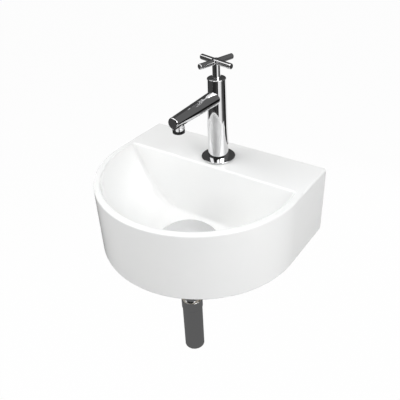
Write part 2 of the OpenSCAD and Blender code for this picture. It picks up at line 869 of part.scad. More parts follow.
// Nut that pulls the flange of the upper tube against the waste body
module coupling_nut() {
    corner_r = coupling_af / 2 / cos(30);
    color("silver") at_drain() translate([0, 0, coupling_foot]) difference() {
        intersection() {
            cylinder(r = corner_r, h = coupling_h, $fn = 6);
            cylinder(r1 = coupling_af / 2, r2 = coupling_af / 2 + nut_slope * coupling_h, h = coupling_h);
        }
        translate([0, 0, -eps]) cylinder(r = upper_tube_d / 2 + seat_gap, h = coupling_h);
        translate([0, 0, coupling_lip]) cylinder(r = waste_r + seat_gap, h = coupling_h);
    }
}

module upper_tail_tube() {
    foot = lower_tube_z - tube_overlap;
    color("silver") at_drain() difference() {
        union() {
            translate([0, 0, foot]) cylinder(d = upper_tube_d, h = waste_end - coupling_washer_t - foot);
            translate([0, 0, tail_flange_z]) cylinder(r = waste_r, h = coupling_washer_t);
        }
        translate([0, 0, foot - eps]) cylinder(r = upper_tube_d / 2 - tube_wall, h = waste_end - foot);
    }
}

module slip_oring() {
    color("dimgray") at_drain() ring(neck_r, upper_tube_d / 2 + seat_gap, lower_tube_z, slip_ring_t);
}

module slip_collar() {
    outer_r = lower_tube_r + collar_proud;
    color("silver") at_drain() difference() {
        translate([0, 0, collar_foot]) turned_post(outer_r, outer_r, collar_h, collar_edge_r);
        translate([0, 0, collar_foot - eps])
            cylinder(r = neck_r + seat_gap, h = collar_h - collar_top_t + eps);
        translate([0, 0, collar_foot]) cylinder(r = upper_tube_d / 2 + seat_gap, h = collar_h + eps);
    }
}

// The neck in the collar is thinner and shows as a groove below it
module lower_tail_tube() {
    color("silver") at_drain() difference() {
        union() {
            translate([0, 0, tail_end]) cylinder(r = lower_tube_r, h = collar_foot - groove_h - tail_end);
            translate([0, 0, tail_end]) cylinder(r = neck_r, h = lower_tube_z - tail_end);
        }
        translate([0, 0, tail_end - eps])
            cylinder(r = lower_tube_r - tube_wall, h = lower_tube_z - tail_end + 2 * eps);
    }
}

basin_body();
tap_base_seal();
tap_base_rosette();
tap_body();
tap_spout();
aerator_housing();
aerator_insert();
aerator_seal();
inlet_shank();
deck_washer();
backing_plate();
shank_backnut();
disc_seal();
fixed_ceramic_disc();
moving_ceramic_disc();
headwork_bush();
spindle();
spindle_oring();
bonnet_ring();
handle_hub();
handle_arms();
handle_grub_screw();
flange_seal();
waste_body();
waste_under_seal();
waste_backnut();
click_cartridge();
plug_stem();
plug_spring();
plug_seal();
plug_cap();
coupling_washer();
coupling_nut();
upper_tail_tube();
slip_oring();
slip_collar();
lower_tail_tube();
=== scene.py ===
"""Half-round cloakroom basin with a pillar tap, dressed in glaze, chrome, brass and rubber."""
import math

import bmesh
import bpy
from mathutils import Matrix, Vector


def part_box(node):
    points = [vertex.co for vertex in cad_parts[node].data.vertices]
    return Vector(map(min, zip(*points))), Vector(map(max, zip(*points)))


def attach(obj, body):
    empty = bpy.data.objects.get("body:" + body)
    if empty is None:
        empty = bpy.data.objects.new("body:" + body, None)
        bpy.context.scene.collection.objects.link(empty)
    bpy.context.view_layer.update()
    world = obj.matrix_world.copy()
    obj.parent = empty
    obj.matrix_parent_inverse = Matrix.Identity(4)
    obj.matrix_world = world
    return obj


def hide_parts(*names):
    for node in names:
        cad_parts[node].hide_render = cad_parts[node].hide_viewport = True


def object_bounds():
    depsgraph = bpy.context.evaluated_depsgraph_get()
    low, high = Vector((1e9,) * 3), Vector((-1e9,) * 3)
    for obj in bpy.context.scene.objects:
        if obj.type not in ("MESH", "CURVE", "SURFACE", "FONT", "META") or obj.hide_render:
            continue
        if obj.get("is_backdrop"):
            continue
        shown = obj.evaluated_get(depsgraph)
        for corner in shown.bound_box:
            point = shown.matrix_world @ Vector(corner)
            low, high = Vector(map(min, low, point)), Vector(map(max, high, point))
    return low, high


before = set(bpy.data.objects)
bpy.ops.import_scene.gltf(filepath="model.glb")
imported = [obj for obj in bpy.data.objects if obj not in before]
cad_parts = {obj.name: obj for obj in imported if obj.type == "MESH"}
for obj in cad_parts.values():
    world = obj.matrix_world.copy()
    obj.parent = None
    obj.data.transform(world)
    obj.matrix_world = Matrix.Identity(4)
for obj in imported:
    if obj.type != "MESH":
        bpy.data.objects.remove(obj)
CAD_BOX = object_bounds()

bl_info = {
    "name": "Half-round cloakroom basin",
    "version": (1, 0, 0),
    "blender": (4, 5, 0),
    "location": "3D View > Sidebar > Basin",
    "description": "Dresses the packed basin, tap and waste, and sets them in a studio",
    "category": "Object",
}

MM = 0.001

# How far a cutter reaches past a face that it opens
LIFT = 0.5 * MM
# Corners that are closer than this are one
SLIVER = 0.001 * MM
# Arcs whose ends are farther apart than this get a straight run between them
ARC_GAP = 0.05 * MM

# Facets of the half-round front, of the bowl's upright creases, and of the edge at the wall
ARC_STEPS = 120
CREASE_STEPS = 10
BACK_STEPS = 3
# Levels of the bowl's lip, of its side, and of the rounding into its floor
LIP_STEPS = 6
BALL_STEPS = 18
EDGE_STEPS = 14
# Facets of the space under the deck at its corners and at its mouth, and of the recess's lip
CHAMBER_STEPS = 8
MOUTH_STEPS = 4
RECESS_STEPS = 5
# Facets round a turned piece, round one turn of a thread, of a rounded corner and of the dome
TURNED_STEPS = 144
THREAD_STEPS = 40
CORNER_STEPS = 6
DOME_STEPS = 24

# A thread's ridge sinks so deep into its core, and its foot takes this share of the pitch
THREAD_SINK = 0.1 * MM
THREAD_FOOT = 0.98
# The spout's tenon ends so many of the column's foot radii from the tap's axis
TENON_END = 1.2
# An arm starts so many of its own radii from the tap's axis
ARM_START = 1.02
# Rounding of the plug's cap as a share of its edge
CAP_CORNER = 0.48
# Bearings of the three ribs in the waste, in degrees
RIBS = (30, 150, 270)

# Bare clay: its roughness, how far the glaze's edge wanders, and how near the wall it starts
CLAY_ROUGHNESS = 0.75
CLAY_FRAY = 1.2 * MM
CLAY_BACK = 0.4 * MM

# Numbers of the colour sockets of a Mix node: two that go in, and one that comes out
MIX_FROM, MIX_TO, MIX_OUT = 6, 7, 2
# How far apart the bands of a Wave node of scale 1 lie
WAVE_BANDS = math.tau / 20

# What carving does with the next solid
CUT, ADD = "DIFFERENCE", "UNION"

# Turn what points up to point to the front and to the side
TO_FRONT = Matrix.Rotation(math.pi / 2, 3, "X")
TO_SIDE = Matrix.Rotation(math.pi / 2, 3, "Y")

# Which nodes carry which finish
FINISHES = {
    "vitreous_white": ["basin_body"],
    "polished_chrome": [
        "tap_base_rosette", "tap_body", "tap_spout", "aerator_housing", "bonnet_ring",
        "handle_hub", "handle_arms", "waste_body", "plug_cap", "coupling_nut",
        "upper_tail_tube", "slip_collar", "lower_tail_tube",
    ],
    "raw_brass": [
        "inlet_shank", "shank_backnut", "headwork_bush", "spindle", "waste_backnut", "plug_stem",
    ],
    "black_rubber": [
        "tap_base_seal", "aerator_seal", "deck_washer", "disc_seal", "spindle_oring",
        "flange_seal", "waste_under_seal", "plug_seal", "coupling_washer", "slip_oring",
    ],
    "valve_ceramic": ["fixed_ceramic_disc", "moving_ceramic_disc"],
    "moulded_plastic": ["aerator_insert", "click_cartridge"],
    "steel_plate": ["backing_plate", "handle_grub_screw", "plug_spring"],
}

# The camera, in metres and its lens and sensor in millimetres, as the photograph was taken
CAMERA_PLACE = (0.37644, -0.61576, 0.41521)
CAMERA_RIGHT = (0.82382, 0.56530, -0.04190)
CAMERA_DOWN = (0.28615, -0.47854, -0.83013)
CAMERA_AHEAD = (-0.48932, 0.67189, -0.55599)
CAMERA_LENS = 47.26
CAMERA_SENSOR = 36
CAMERA_NEAR = 0.02

# The cards stand on a circle round this point of the middle plane, in metres
STUDIO_CENTRE = -0.12
CARD_RADIUS = 1.6
# Heights of the cards' edges, and how many degrees of the circle one facet takes
CARD_TOP = 2.2
WAIST = -0.15
SKIRT = -0.62
FOOT = -0.78
CARD_FACET = 8
# The floor: its width, how much of its look is even white, and how far above it a card lies
FLOOR_WIDTH = 24
FLOOR_GLOW = 0.97
CARD_LIFT = 0.01
# The small round flag that hangs below the aerator
FLAG_RADIUS = 0.027
FLAG_DROP = 0.005
FLAG_STEPS = 48

# Cards that only gloss sees: tone, first and last bearing in degrees from the front towards
# the right, height of the lower and of the upper edge. What no card covers is white.
CARDS = {
    "low_left_edge": ("black", 262, 282, SKIRT, WAIST),
    "low_left": ("charcoal", 282, 345, FOOT, WAIST),
    "low_front": ("dark", 345, 386, SKIRT, WAIST),
    "low_front_right": ("charcoal", 26, 38, SKIRT, WAIST),
    "low_right_edge": ("black", 38, 51, SKIRT, WAIST),
    "low_right": ("pale", 86, 98, SKIRT, WAIST),
    "low_back_right": ("charcoal", 98, 127, SKIRT, WAIST),
    "low_back": ("black", 127, 153, FOOT, WAIST),
    "back_right": ("grey", 98, 131, WAIST, CARD_TOP),
    "back": ("grey", 131, 200, WAIST, CARD_TOP),
    "left": ("charcoal", 200, 345, WAIST, CARD_TOP),
    "front": ("dark", 345, 458, WAIST, CARD_TOP),
}

# Soft lamps: width and height, place in metres, and whether gloss mirrors them
LAMPS = {
    "high_left": (1.4, 1.4, (-0.8, -0.5, 1.5), True),
    "front": (1.4, 1.2, (0.2, -0.9, 1.6), True),
    "right": (1.2, 1.2, (1.4, -0.3, 0.9), True),
    "side": (0.7, 1.0, (1.5, -0.7, 0.5), True),
    "left": (1.8, 1.4, (-1.3, -0.8, 0.8), False),
    "back": (1.2, 1.2, (0, 1.5, 0.05), False),
}


def linear(code):
    """Linear colour of an sRGB hex code."""
    channels = [int(code[i:i + 2], 16) / 255 for i in (1, 3, 5)]
    return tuple(c / 12.92 if c <= 0.04045 else ((c + 0.055) / 1.055) ** 2.4 for c in channels)


def rgba(colour):
    """Colour with full alpha, for a node's socket."""
    return (*colour[:3], 1.0)


def pitch(size):
    """Scale of a pattern whose features are so many millimetres apart."""
    return 1 / (size * MM)


def node(tree, kind, inputs, **settings):
    """Adds a node. An input takes a value, a socket, or the first socket of another node."""
    made = tree.nodes.new("ShaderNode" + kind)
    for name, value in settings.items():
        setattr(made, name, value)
    for name, value in inputs.items():
        if isinstance(value, bpy.types.Node):
            value = value.outputs[0]
        if isinstance(value, bpy.types.NodeSocket):
            tree.links.new(value, made.inputs[name])
        else:
            made.inputs[name].default_value = value
    return made


def start_material(name):
    """A material with an empty tree, the tree, and Object coordinates in it."""
    material = bpy.data.materials.new(name)
    material.use_nodes = True
    tree = material.node_tree
    tree.nodes.clear()
    return material, tree, node(tree, "TexCoord", {}).outputs["Object"]


def end_material(material, shader):
    node(material.node_tree, "OutputMaterial", {"Surface": shader})
    return material


def clouded(tree, place, size, detail, colour, shade):
    """Clouds so many millimetres wide, and a colour that drifts to its shade in them."""
    cloud = node(tree, "TexNoise", {"Vector": place, "Scale": pitch(size), "Detail": detail})
    mix = node(tree, "Mix", {0: cloud, MIX_FROM: rgba(colour), MIX_TO: rgba(shade)},
               data_type="RGBA")
    return cloud, mix.outputs[MIX_OUT]


def vitreous_china(look):
    """Slip-cast clay, sprayed with opaque glaze and fired."""
    # The fired glaze is a thick glass: a sharp, deep gloss over faint long waves, and a
    # colour that drifts slightly. The clay is bare and matt where the foot stood in the
    # kiln, on the back and in the space under the deck, which the spray doesn't reach.
    material, tree, place = start_material("vitreous_china_glazed")
    glaze = clouded(tree, place, 90, 2, look.glaze_colour, look.glaze_shade)[1]
    speck, clay = clouded(tree, place, 0.7, 1, look.clay_colour, look.clay_shade)
    ragged = node(tree, "TexNoise", {"Vector": place, "Scale": pitch(9), "Detail": 3})
    frayed = node(tree, "Math", {0: ragged, 1: CLAY_FRAY}, operation="MULTIPLY")
    spot = node(tree, "SeparateXYZ", {0: place}).outputs
    low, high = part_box("basin_body")
    above_foot = node(tree, "Math", {0: spot["Z"], 1: low.z}, operation="SUBTRACT")
    bare_foot = node(tree, "Math", {0: above_foot, 1: frayed}, operation="LESS_THAN")
    bare_back = node(tree, "Math", {0: spot["Y"], 1: -CLAY_BACK}, operation="GREATER_THAN")
    # How far a point lies outside the space under the deck, along the axis where that is most
    size = bpy.context.scene.basin_sizes
    room_low = Vector((low.x + size.wall, size.wall - size.deck_depth, low.z - size.wall))
    room_high = Vector((high.x - size.wall, -size.wall, high.z - size.deck_thickness))
    shifted = node(tree, "VectorMath", {0: place, 1: (room_low + room_high) / 2},
                   operation="SUBTRACT")
    folded = node(tree, "VectorMath", {0: shifted}, operation="ABSOLUTE")
    outside = node(tree, "VectorMath", {0: folded, 1: (room_high - room_low) / 2},
                   operation="SUBTRACT")
    sides = node(tree, "SeparateXYZ", {0: outside}).outputs
    across = node(tree, "Math", {0: sides["X"], 1: sides["Y"]}, operation="MAXIMUM")
    most = node(tree, "Math", {0: across, 1: sides["Z"]}, operation="MAXIMUM")
    bare_room = node(tree, "Math", {0: most, 1: frayed}, operation="LESS_THAN")
    flat = node(tree, "Math", {0: bare_foot, 1: bare_back}, operation="MAXIMUM")
    bare = node(tree, "Math", {0: flat, 1: bare_room}, operation="MAXIMUM")
    colour = node(tree, "Mix", {0: bare, MIX_FROM: glaze, MIX_TO: clay}, data_type="RGBA")
    gloss = node(tree, "MapRange",
                 {0: bare, "To Min": look.glaze_roughness, "To Max": CLAY_ROUGHNESS})
    wave = node(tree, "TexNoise", {"Vector": place, "Scale": pitch(22), "Detail": 1})
    swell = node(tree, "Bump",
                 {"Height": wave, "Strength": look.glaze_wave, "Distance": 0.4 * MM})
    grain = node(tree, "Math", {0: speck, 1: bare}, operation="MULTIPLY")
    relief = node(tree, "Bump",
                  {"Height": grain, "Normal": swell, "Strength": 0.5, "Distance": 0.2 * MM})
    return end_material(material, node(tree, "BsdfPrincipled", {
        "Base Color": colour.outputs[MIX_OUT], "Roughness": gloss, "Normal": relief,
        "IOR": 1.52}))


def chrome_plate(look):
    """Turned brass, polished, then plated with nickel and a film of chromium."""
    # A mirror with a cool grey tone, a breath of water film and hairlines from wiping.
    material, tree, place = start_material("chrome_plate_polished")
    film = node(tree, "TexNoise", {"Vector": place, "Scale": pitch(14), "Detail": 3})
    gloss = node(tree, "MapRange", {
        0: film, "From Min": 0.35, "From Max": 0.75,
        "To Min": look.chrome_roughness, "To Max": look.chrome_roughness * 2})
    stretch = node(tree, "Mapping", {"Vector": place, "Scale": (1, 1, 9)})
    # Hairlines are far finer than a pixel, so they are drawn 0.6 mm apart
    hairs = node(tree, "TexNoise", {"Vector": stretch, "Scale": pitch(0.6), "Detail": 2})
    relief = node(tree, "Bump",
                  {"Height": hairs, "Strength": look.hairline_depth, "Distance": 0.01 * MM})
    return end_material(material, node(tree, "BsdfPrincipled", {
        "Base Color": rgba(look.chrome_colour), "Metallic": 1, "Roughness": gloss,
        "Normal": relief}))


def turned_brass(look):
    """Free-cutting brass, turned on a lathe and left bare."""
    # Fine tool rings, and patches that have gone dull and brown.
    material, tree, place = start_material("brass_turned")
    patch, colour = clouded(tree, place, 11, 4, look.brass_colour, look.brass_shade)
    gloss = node(tree, "MapRange", {0: patch, "To Min": 0.22, "To Max": 0.5})
    # Real tool rings are too fine to show, so they are drawn 2.2 mm apart
    rings = node(tree, "TexWave",
                 {"Vector": place, "Scale": pitch(2.2) * WAVE_BANDS, "Distortion": 0.6},
                 wave_type="BANDS", bands_direction="Z")
    relief = node(tree, "Bump",
                  {"Height": rings.outputs["Fac"], "Strength": 0.25, "Distance": 0.03 * MM})
    return end_material(material, node(tree, "BsdfPrincipled", {
        "Base Color": colour, "Metallic": 1, "Roughness": gloss, "Normal": relief}))


def moulded_rubber(look):
    """Black nitrile rubber, moulded and dusted with talc."""
    # Matt, with a grey bloom in the pores.
    material, tree, place = start_material("nitrile_rubber_moulded")
    bloom, colour = clouded(tree, place, 3, 5, look.rubber_colour, look.rubber_bloom)
    relief = node(tree, "Bump", {"Height": bloom, "Strength": 0.3, "Distance": 0.05 * MM})
    return end_material(material, node(tree, "BsdfPrincipled", {
        "Base Color": colour, "Roughness": 0.62, "IOR": 1.52, "Normal": relief}))


def lapped_alumina(look):
    """Sintered alumina, lapped flat."""
    # Ivory and dense, satin from the lapping grit.
    material, tree, place = start_material("alumina_lapped")
    grain, colour = clouded(tree, place, 0.5, 3, look.alumina_colour, look.alumina_shade)
    gloss = node(tree, "MapRange", {0: grain, "To Min": 0.18, "To Max": 0.34})
    return end_material(material, node(tree, "BsdfPrincipled", {
        "Base Color": colour, "Roughness": gloss, "IOR": 1.76}))


def moulded_acetal(look):
    """Acetal, injection moulded in a spark-eroded tool."""
    # Milky white with a fine satin grain and faint flow clouds.
    material, tree, place = start_material("acetal_moulded")
    colour = clouded(tree, place, 7, 2, look.acetal_colour, look.acetal_shade)[1]
    # The tool's grain is finer than this 0.25 mm, but has to show
    texture = node(tree, "TexNoise", {"Vector": place, "Scale": pitch(0.25)})
    relief = node(tree, "Bump", {"Height": texture, "Strength": 0.2, "Distance": 0.03 * MM})
    return end_material(material, node(tree, "BsdfPrincipled", {
        "Base Color": colour, "Roughness": 0.38, "IOR": 1.48, "Normal": relief}))


def zinc_plated_steel(look):
    """Rolled and stamped steel with a passivated zinc coat."""
    # Blue-grey, streaked along the rolling direction.
    material, tree, place = start_material("steel_zinc_plated")
    along = node(tree, "Mapping", {"Vector": place, "Scale": (0.12, 1, 1)})
    streak, colour = clouded(tree, along, 0.8, 4, look.zinc_colour, look.zinc_shade)
    gloss = node(tree, "MapRange", {0: streak, "To Min": 0.25, "To Max": 0.45})
    relief = node(tree, "Bump", {"Height": streak, "Strength": 0.2, "Distance": 0.02 * MM})
    return end_material(material, node(tree, "BsdfPrincipled", {
        "Base Color": colour, "Metallic": 1, "Roughness": gloss, "Normal": relief}))


MAKERS = {
    "vitreous_white": vitreous_china,
    "polished_chrome": chrome_plate,
    "raw_brass": turned_brass,
    "black_rubber": moulded_rubber,
    "valve_ceramic": lapped_alumina,
    "moulded_plastic": moulded_acetal,
    "steel_plate": zinc_plated_steel,
}
materials = {}


def number(name, description, value, unit="NONE", **limits):
    return bpy.props.FloatProperty(
        name=name, description=description, default=value, unit=unit, **limits)


def mm(name, description, size):
    """Setting for a length, given in millimetres."""
    return number(name, description, size * MM, "LENGTH", min=0)


def hex_colour(name, description, code):
    """Setting for a colour, given as an sRGB hex code."""
    return bpy.props.FloatVectorProperty(
        name=name, description=description, default=linear(code), subtype="COLOR", size=3,
        min=0, max=1)


class BasinSizes(bpy.types.PropertyGroup):
    """Sizes of the cast basin. Its width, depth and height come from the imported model."""

    rim_width: mm("Rim", "Width of the rim round the bowl", 9.4)
    rim_edge: mm("Rim edge", "Rounding of the outer edges", 3)
    back_edge: mm("Back edge", "Rounding of the edges against the wall", 1)
    deck_depth: mm("Deck", "Depth of the flat deck behind the bowl", 76)
    bowl_depth: mm("Bowl depth", "Depth of the bowl's floor below the rim", 93)
    floor_radius: mm("Floor", "Radius at which the bowl's side would meet its floor", 74)
    floor_edge: mm("Floor edge", "Rounding between the bowl's side and its floor", 40)
    bowl_lean: mm("Lean", "How far the floor's centre lies in front of the rim's", 33)
    back_lean: mm("Back lean", "How far the bowl's back wall comes forward with its depth", 8)
    back_foot: mm("Back foot", "Rounding between the bowl's back wall and its floor", 4)
    lip: mm("Lip", "Rounding of the bowl's lip", 2.5)
    crease: mm("Crease", "Rounding of the two upright corners of the bowl, at the rim", 4)
    crease_foot: mm("Crease foot", "Rounding of the two upright corners, at the floor", 16)
    wall: mm("Wall", "Thickness of the walls round the space under the deck", 9)
    deck_thickness: mm("Deck thickness", "Thickness of the ceramic under the deck", 10)
    chamber_corner: mm("Chamber corner", "Rounding of the upright corners under the deck", 8)
    chamber_edge: mm("Chamber edge", "Rounding of the mouth and the ceiling under the deck", 2.5)
    tap_hole: mm("Tap hole", "Diameter of the hole for the tap", 24)
    fixing_hole: mm("Fixing hole", "Diameter of a hole for a wall bolt", 12)
    fixing_pitch: mm("Fixing pitch", "Distance between the two wall bolts", 180)
    recess: mm("Recess", "Diameter of the recess round the waste", 86)
    recess_depth: mm("Recess depth", "Depth of the recess round the waste", 3)
    recess_lip: mm("Recess lip", "Rounding of the lip and the foot of the recess", 1.5)
    waste_hole: mm("Waste hole", "Diameter of the hole for the waste", 46)


class TapSizes(bpy.types.PropertyGroup):
    """Sizes of the tap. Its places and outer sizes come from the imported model."""

    rosette_edge: mm("Rosette edge", "Thickness of the rosette at its rim", 2)
    rosette_round: mm("Rosette rounding", "Rounding of the rosette's rim", 0.9)
    rosette_land: mm("Rosette land", "Width of the rosette's flat land round the column", 1)
    column_top: mm("Column top", "Diameter of the column at its top", 26.4)
    column_round: mm("Column rounding", "Rounding of the column's top edge", 1.2)
    shank_bore: mm("Shank bore", "Diameter of the bore for the shank", 20.7)
    shank_engage: mm("Shank bore depth", "Depth of the shank's bore in the column", 14)
    waterway: mm("Waterway", "Diameter of the waterway through shank and column", 12)
    seat_depth: mm("Valve seat", "Depth of the valve's seat below the column's top", 46)
    headwork_bore: mm("Headwork bore", "Diameter of the bore for the headwork", 20.1)
    fit: mm("Fit", "Clearance between pieces that sit in each other", 0.05)
    spout_drop: mm("Spout", "Depth of the spout's axis below the column's top", 26.5)
    spout_start: mm("Spout start", "Where the spout's cone starts in front of the tap's axis", 3)
    spout_root: mm("Spout root", "Diameter of the spout inside the column", 21.6)
    spout_tip: mm("Spout tip", "Diameter of the spout at its tip", 15.8)
    spout_round: mm("Spout rounding", "Rounding of the spout's tip", 2)
    spout_bore: mm("Spout bore", "Diameter of the waterway in the spout", 8)
    tenon: mm("Spout tenon", "Diameter of the spout's tenon in the column", 12)
    boss_step: mm("Boss step", "How far the boss is set back from the aerator", 0.2)
    aerator_wall: mm("Aerator wall", "Thickness of the aerator's barrel", 1.3)
    aerator_neck: mm("Aerator neck", "Thickness of the aerator's threaded neck", 1)
    aerator_engage: mm("Aerator neck length", "Length of the aerator's neck in the spout", 4)
    aerator_seal: mm("Aerator seal", "Thickness of the seal above the aerator", 1.6)
    aerator_round: mm("Aerator rounding", "Rounding of the aerator's foot", 0.6)
    bonnet_bore: mm("Bonnet bore", "Diameter of the bonnet ring's bore", 12.2)
    bonnet_round: mm("Bonnet rounding", "Rounding of the bonnet ring's edges", 0.35)
    hub_round: mm("Hub rounding", "Rounding of the hub's top", 2)
    hub_foot: mm("Hub foot", "Rounding of the hub's foot", 0.3)
    socket: mm("Socket", "Diameter of the hub's socket for the spindle", 6.9)
    arm_span: mm("Cross", "Span of the cross from tip to tip", 59)
    arm_round: mm("Arm rounding", "Rounding of an arm's end", 1.2)
    arm_tenon: mm("Arm tenon", "Diameter of an arm's tenon in the hub", 4.4)
    tenon_gap: mm("Tenon gap", "Gap between a tenon's end and its neighbour's side", 1)
    grub_screw: mm("Grub screw", "Diameter of the handle's grub screw", 3)
    handle_turn: number(
        "Cross angle", "Angle at which the closed cross stands", math.radians(-15), "ROTATION")
    thread_rise: mm("Shank thread", "Pitch of the shank's half-inch pipe thread", 1.814)
    thread_depth: mm("Shank thread depth", "Depth of the shank's thread", 1.16)
    undercut: mm("Undercut", "Height of the undercut below the backnut", 1)


class WasteSizes(bpy.types.PropertyGroup):
    """Sizes of the waste and its tail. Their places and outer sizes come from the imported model."""

    cap_edge: mm("Cap edge", "Thickness of the plug's cap at its edge", 2)
    bore: mm("Waste bore", "Inner diameter of the waste body", 35)
    thread: mm("Waste thread", "Diameter of the waste body's thread", 41.6)
    thread_rise: mm("Waste thread pitch", "Pitch of the one and a quarter inch pipe thread", 2.309)
    thread_depth: mm("Waste thread depth", "Depth of the waste body's thread", 1.48)
    flange: mm("Flange", "Thickness of the waste's flange", 2.5)
    flange_round: mm("Flange rounding", "Rounding of the flange's edge", 0.9)
    mouth: mm("Mouth", "Width of the funnel in the flange", 4)
    mouth_depth: mm("Mouth depth", "Depth of the funnel in the flange", 3)
    spider_wall: mm("Spider wall", "Thickness of the ring that holds the cartridge", 2)
    spider_height: mm("Spider", "Height of the ring that holds the cartridge", 12)
    spider_step: mm("Spider step", "How far the ribs stay short of the ring's ends", 2)
    rib: mm("Rib", "Thickness of the three ribs", 2.6)
    cartridge: mm("Cartridge", "Diameter of the click cartridge", 14)
    cartridge_head: mm("Cartridge head", "Height of the cartridge's collar on the spider", 4)
    tube_wall: mm("Tube wall", "Wall of both tail tubes", 1.2)
    coupling_washer: mm("Tube flange", "Thickness of the upper tube's flange", 2)
    upper_tube: mm("Upper tube", "Diameter of the upper tail tube", 28)
    neck: mm("Neck", "Diameter of the lower tube's neck under the collar", 31.2)
    groove: mm("Groove", "Height of the groove between collar and lower tube", 1)
    collar_round: mm("Collar rounding", "Rounding of the slip collar's top", 1)
    collar_top: mm("Collar top", "Thickness of the slip collar's top", 3)
    fit: mm("Fit", "Clearance between pieces that sit in each other", 0.05)


class BasinFinishes(bpy.types.PropertyGroup):
    """Colours and gloss of the object's materials."""

    glaze_colour: hex_colour("Glaze", "Main colour of the glaze", "#F7F7F6")
    glaze_shade: hex_colour("Glaze shade", "Colour that the glaze drifts to", "#F3F4F4")
    glaze_roughness: number("Glaze roughness", "Roughness of the fired glaze", 0.07, min=0, max=1)
    glaze_wave: number("Glaze wave", "Strength of the long waves in the glaze", 0.12, min=0, max=1)
    clay_colour: hex_colour("Clay", "Colour of the bare fired clay", "#D9D3C7")
    clay_shade: hex_colour("Clay shade", "Specks in the bare fired clay", "#C4BCAC")
    chrome_colour: hex_colour("Chrome", "Colour of the chromium film", "#E6E6E7")
    chrome_roughness: number("Chrome roughness", "Roughness of clean chrome", 0.035, min=0, max=1)
    hairline_depth: number("Hairlines", "Strength of the wiping marks", 0.06, min=0, max=1)
    brass_colour: hex_colour("Brass", "Freshly turned brass", "#C9A45A")
    brass_shade: hex_colour("Brass shade", "Tarnished brass", "#9A7638")
    rubber_colour: hex_colour("Rubber", "Black rubber", "#191A1B")
    rubber_bloom: hex_colour("Rubber bloom", "Talc in the pores of the rubber", "#2E2F30")
    alumina_colour: hex_colour("Alumina", "Colour of the valve discs", "#EDE8DB")
    alumina_shade: hex_colour("Alumina shade", "Grain of the valve discs", "#DED7C6")
    acetal_colour: hex_colour("Acetal", "Colour of the moulded plastic", "#E9E8E3")
    acetal_shade: hex_colour("Acetal shade", "Flow clouds in the plastic", "#DDDCD5")
    zinc_colour: hex_colour("Zinc", "Colour of the zinc coat", "#BFC3C6")
    zinc_shade: hex_colour("Zinc shade", "Streaks in the zinc coat", "#9DA2A6")


class BasinStudio(bpy.types.PropertyGroup):
    """The floor, the soft lamps and the cards that only gloss sees."""

    floor_drop: number("Floor", "Height of the floor, below the wall fixings", -0.8, "LENGTH")
    floor_colour: hex_colour("Floor colour", "Colour of the floor", "#F4F4F4")
    card_black: hex_colour("Black card", "Darkest of the cards", "#060606")
    card_dark: hex_colour("Dark card", "Second darkest card", "#2E2E2E")
    card_charcoal: hex_colour("Charcoal card", "Third darkest card", "#464646")
    card_grey: hex_colour("Grey card", "Middle card, also over the floor and overhead", "#656565")
    card_pale: hex_colour("Pale card", "Lightest card", "#9C9C9C")
    high_left_power: number("High left", "Lamp high on the left", 7.7, "POWER", min=0)
    front_power: number("Front", "Lamp high in front", 8.7, "POWER", min=0)
    right_power: number("Right", "Lamp high on the right", 13.2, "POWER", min=0)
    side_power: number("Side", "Lamp low on the right", 5.5, "POWER", min=0)
    left_power: number("Left", "Lamp on the left, not mirrored by gloss", 17, "POWER", min=0)
    back_power: number("Back", "Lamp behind, not mirrored by gloss", 6, "POWER", min=0)
    sky_strength: number("Sky", "Strength of the even light all round", 0.23, min=0)


class BASIN_OT_finishes(bpy.types.Operator):
    """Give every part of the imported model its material"""

    bl_idname = "basin.finishes"
    bl_label = "Finish the packed parts"

    def execute(self, context):
        look = context.scene.basin_finishes
        for slot, maker in MAKERS.items():
            materials[slot] = maker(look)
            for name in FINISHES[slot]:
                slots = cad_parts[name].data.materials
                slots.clear()
                slots.append(materials[slot])
        return {"FINISHED"}


def outline(bm, arcs, height):
    """Closed outline at a height, of arcs and straight runs between them.

    An arc is its start, its centre, its angle and its steps.
    """
    first = last = None
    for start, centre, angle, steps in arcs:
        place = Vector((*start, height))
        if last is None or (last.co - place).length > ARC_GAP:
            corner = bm.verts.new(place)
            if last is not None:
                bm.edges.new((last, corner))
            last = corner
        first = first or last
        arc = bmesh.ops.spin(bm, geom=[last], cent=(*centre, height), axis=(0, 0, 1),
                             angle=angle, steps=steps)
        last = next(item for item in arc["geom_last"] if isinstance(item, bmesh.types.BMVert))
    bm.edges.new((last, first))


def closed(bm):
    """Fills the open ends of a skin and turns its faces outward."""
    bmesh.ops.holes_fill(bm, edges=[edge for edge in bm.edges if edge.is_boundary], sides=0)
    bmesh.ops.recalc_face_normals(bm, faces=bm.faces)
    return bm


def loft(levels):
    """Closed solid through outlines at their heights, lowest or highest first."""
    bm = bmesh.new()
    loops = []
    for arcs, height in levels:
        before = set(bm.edges)
        outline(bm, arcs, height)
        loops.append([edge for edge in bm.edges if edge not in before])
    for lower, upper in zip(loops, loops[1:]):
        bmesh.ops.bridge_loops(bm, edges=lower + upper)
    return closed(bm)


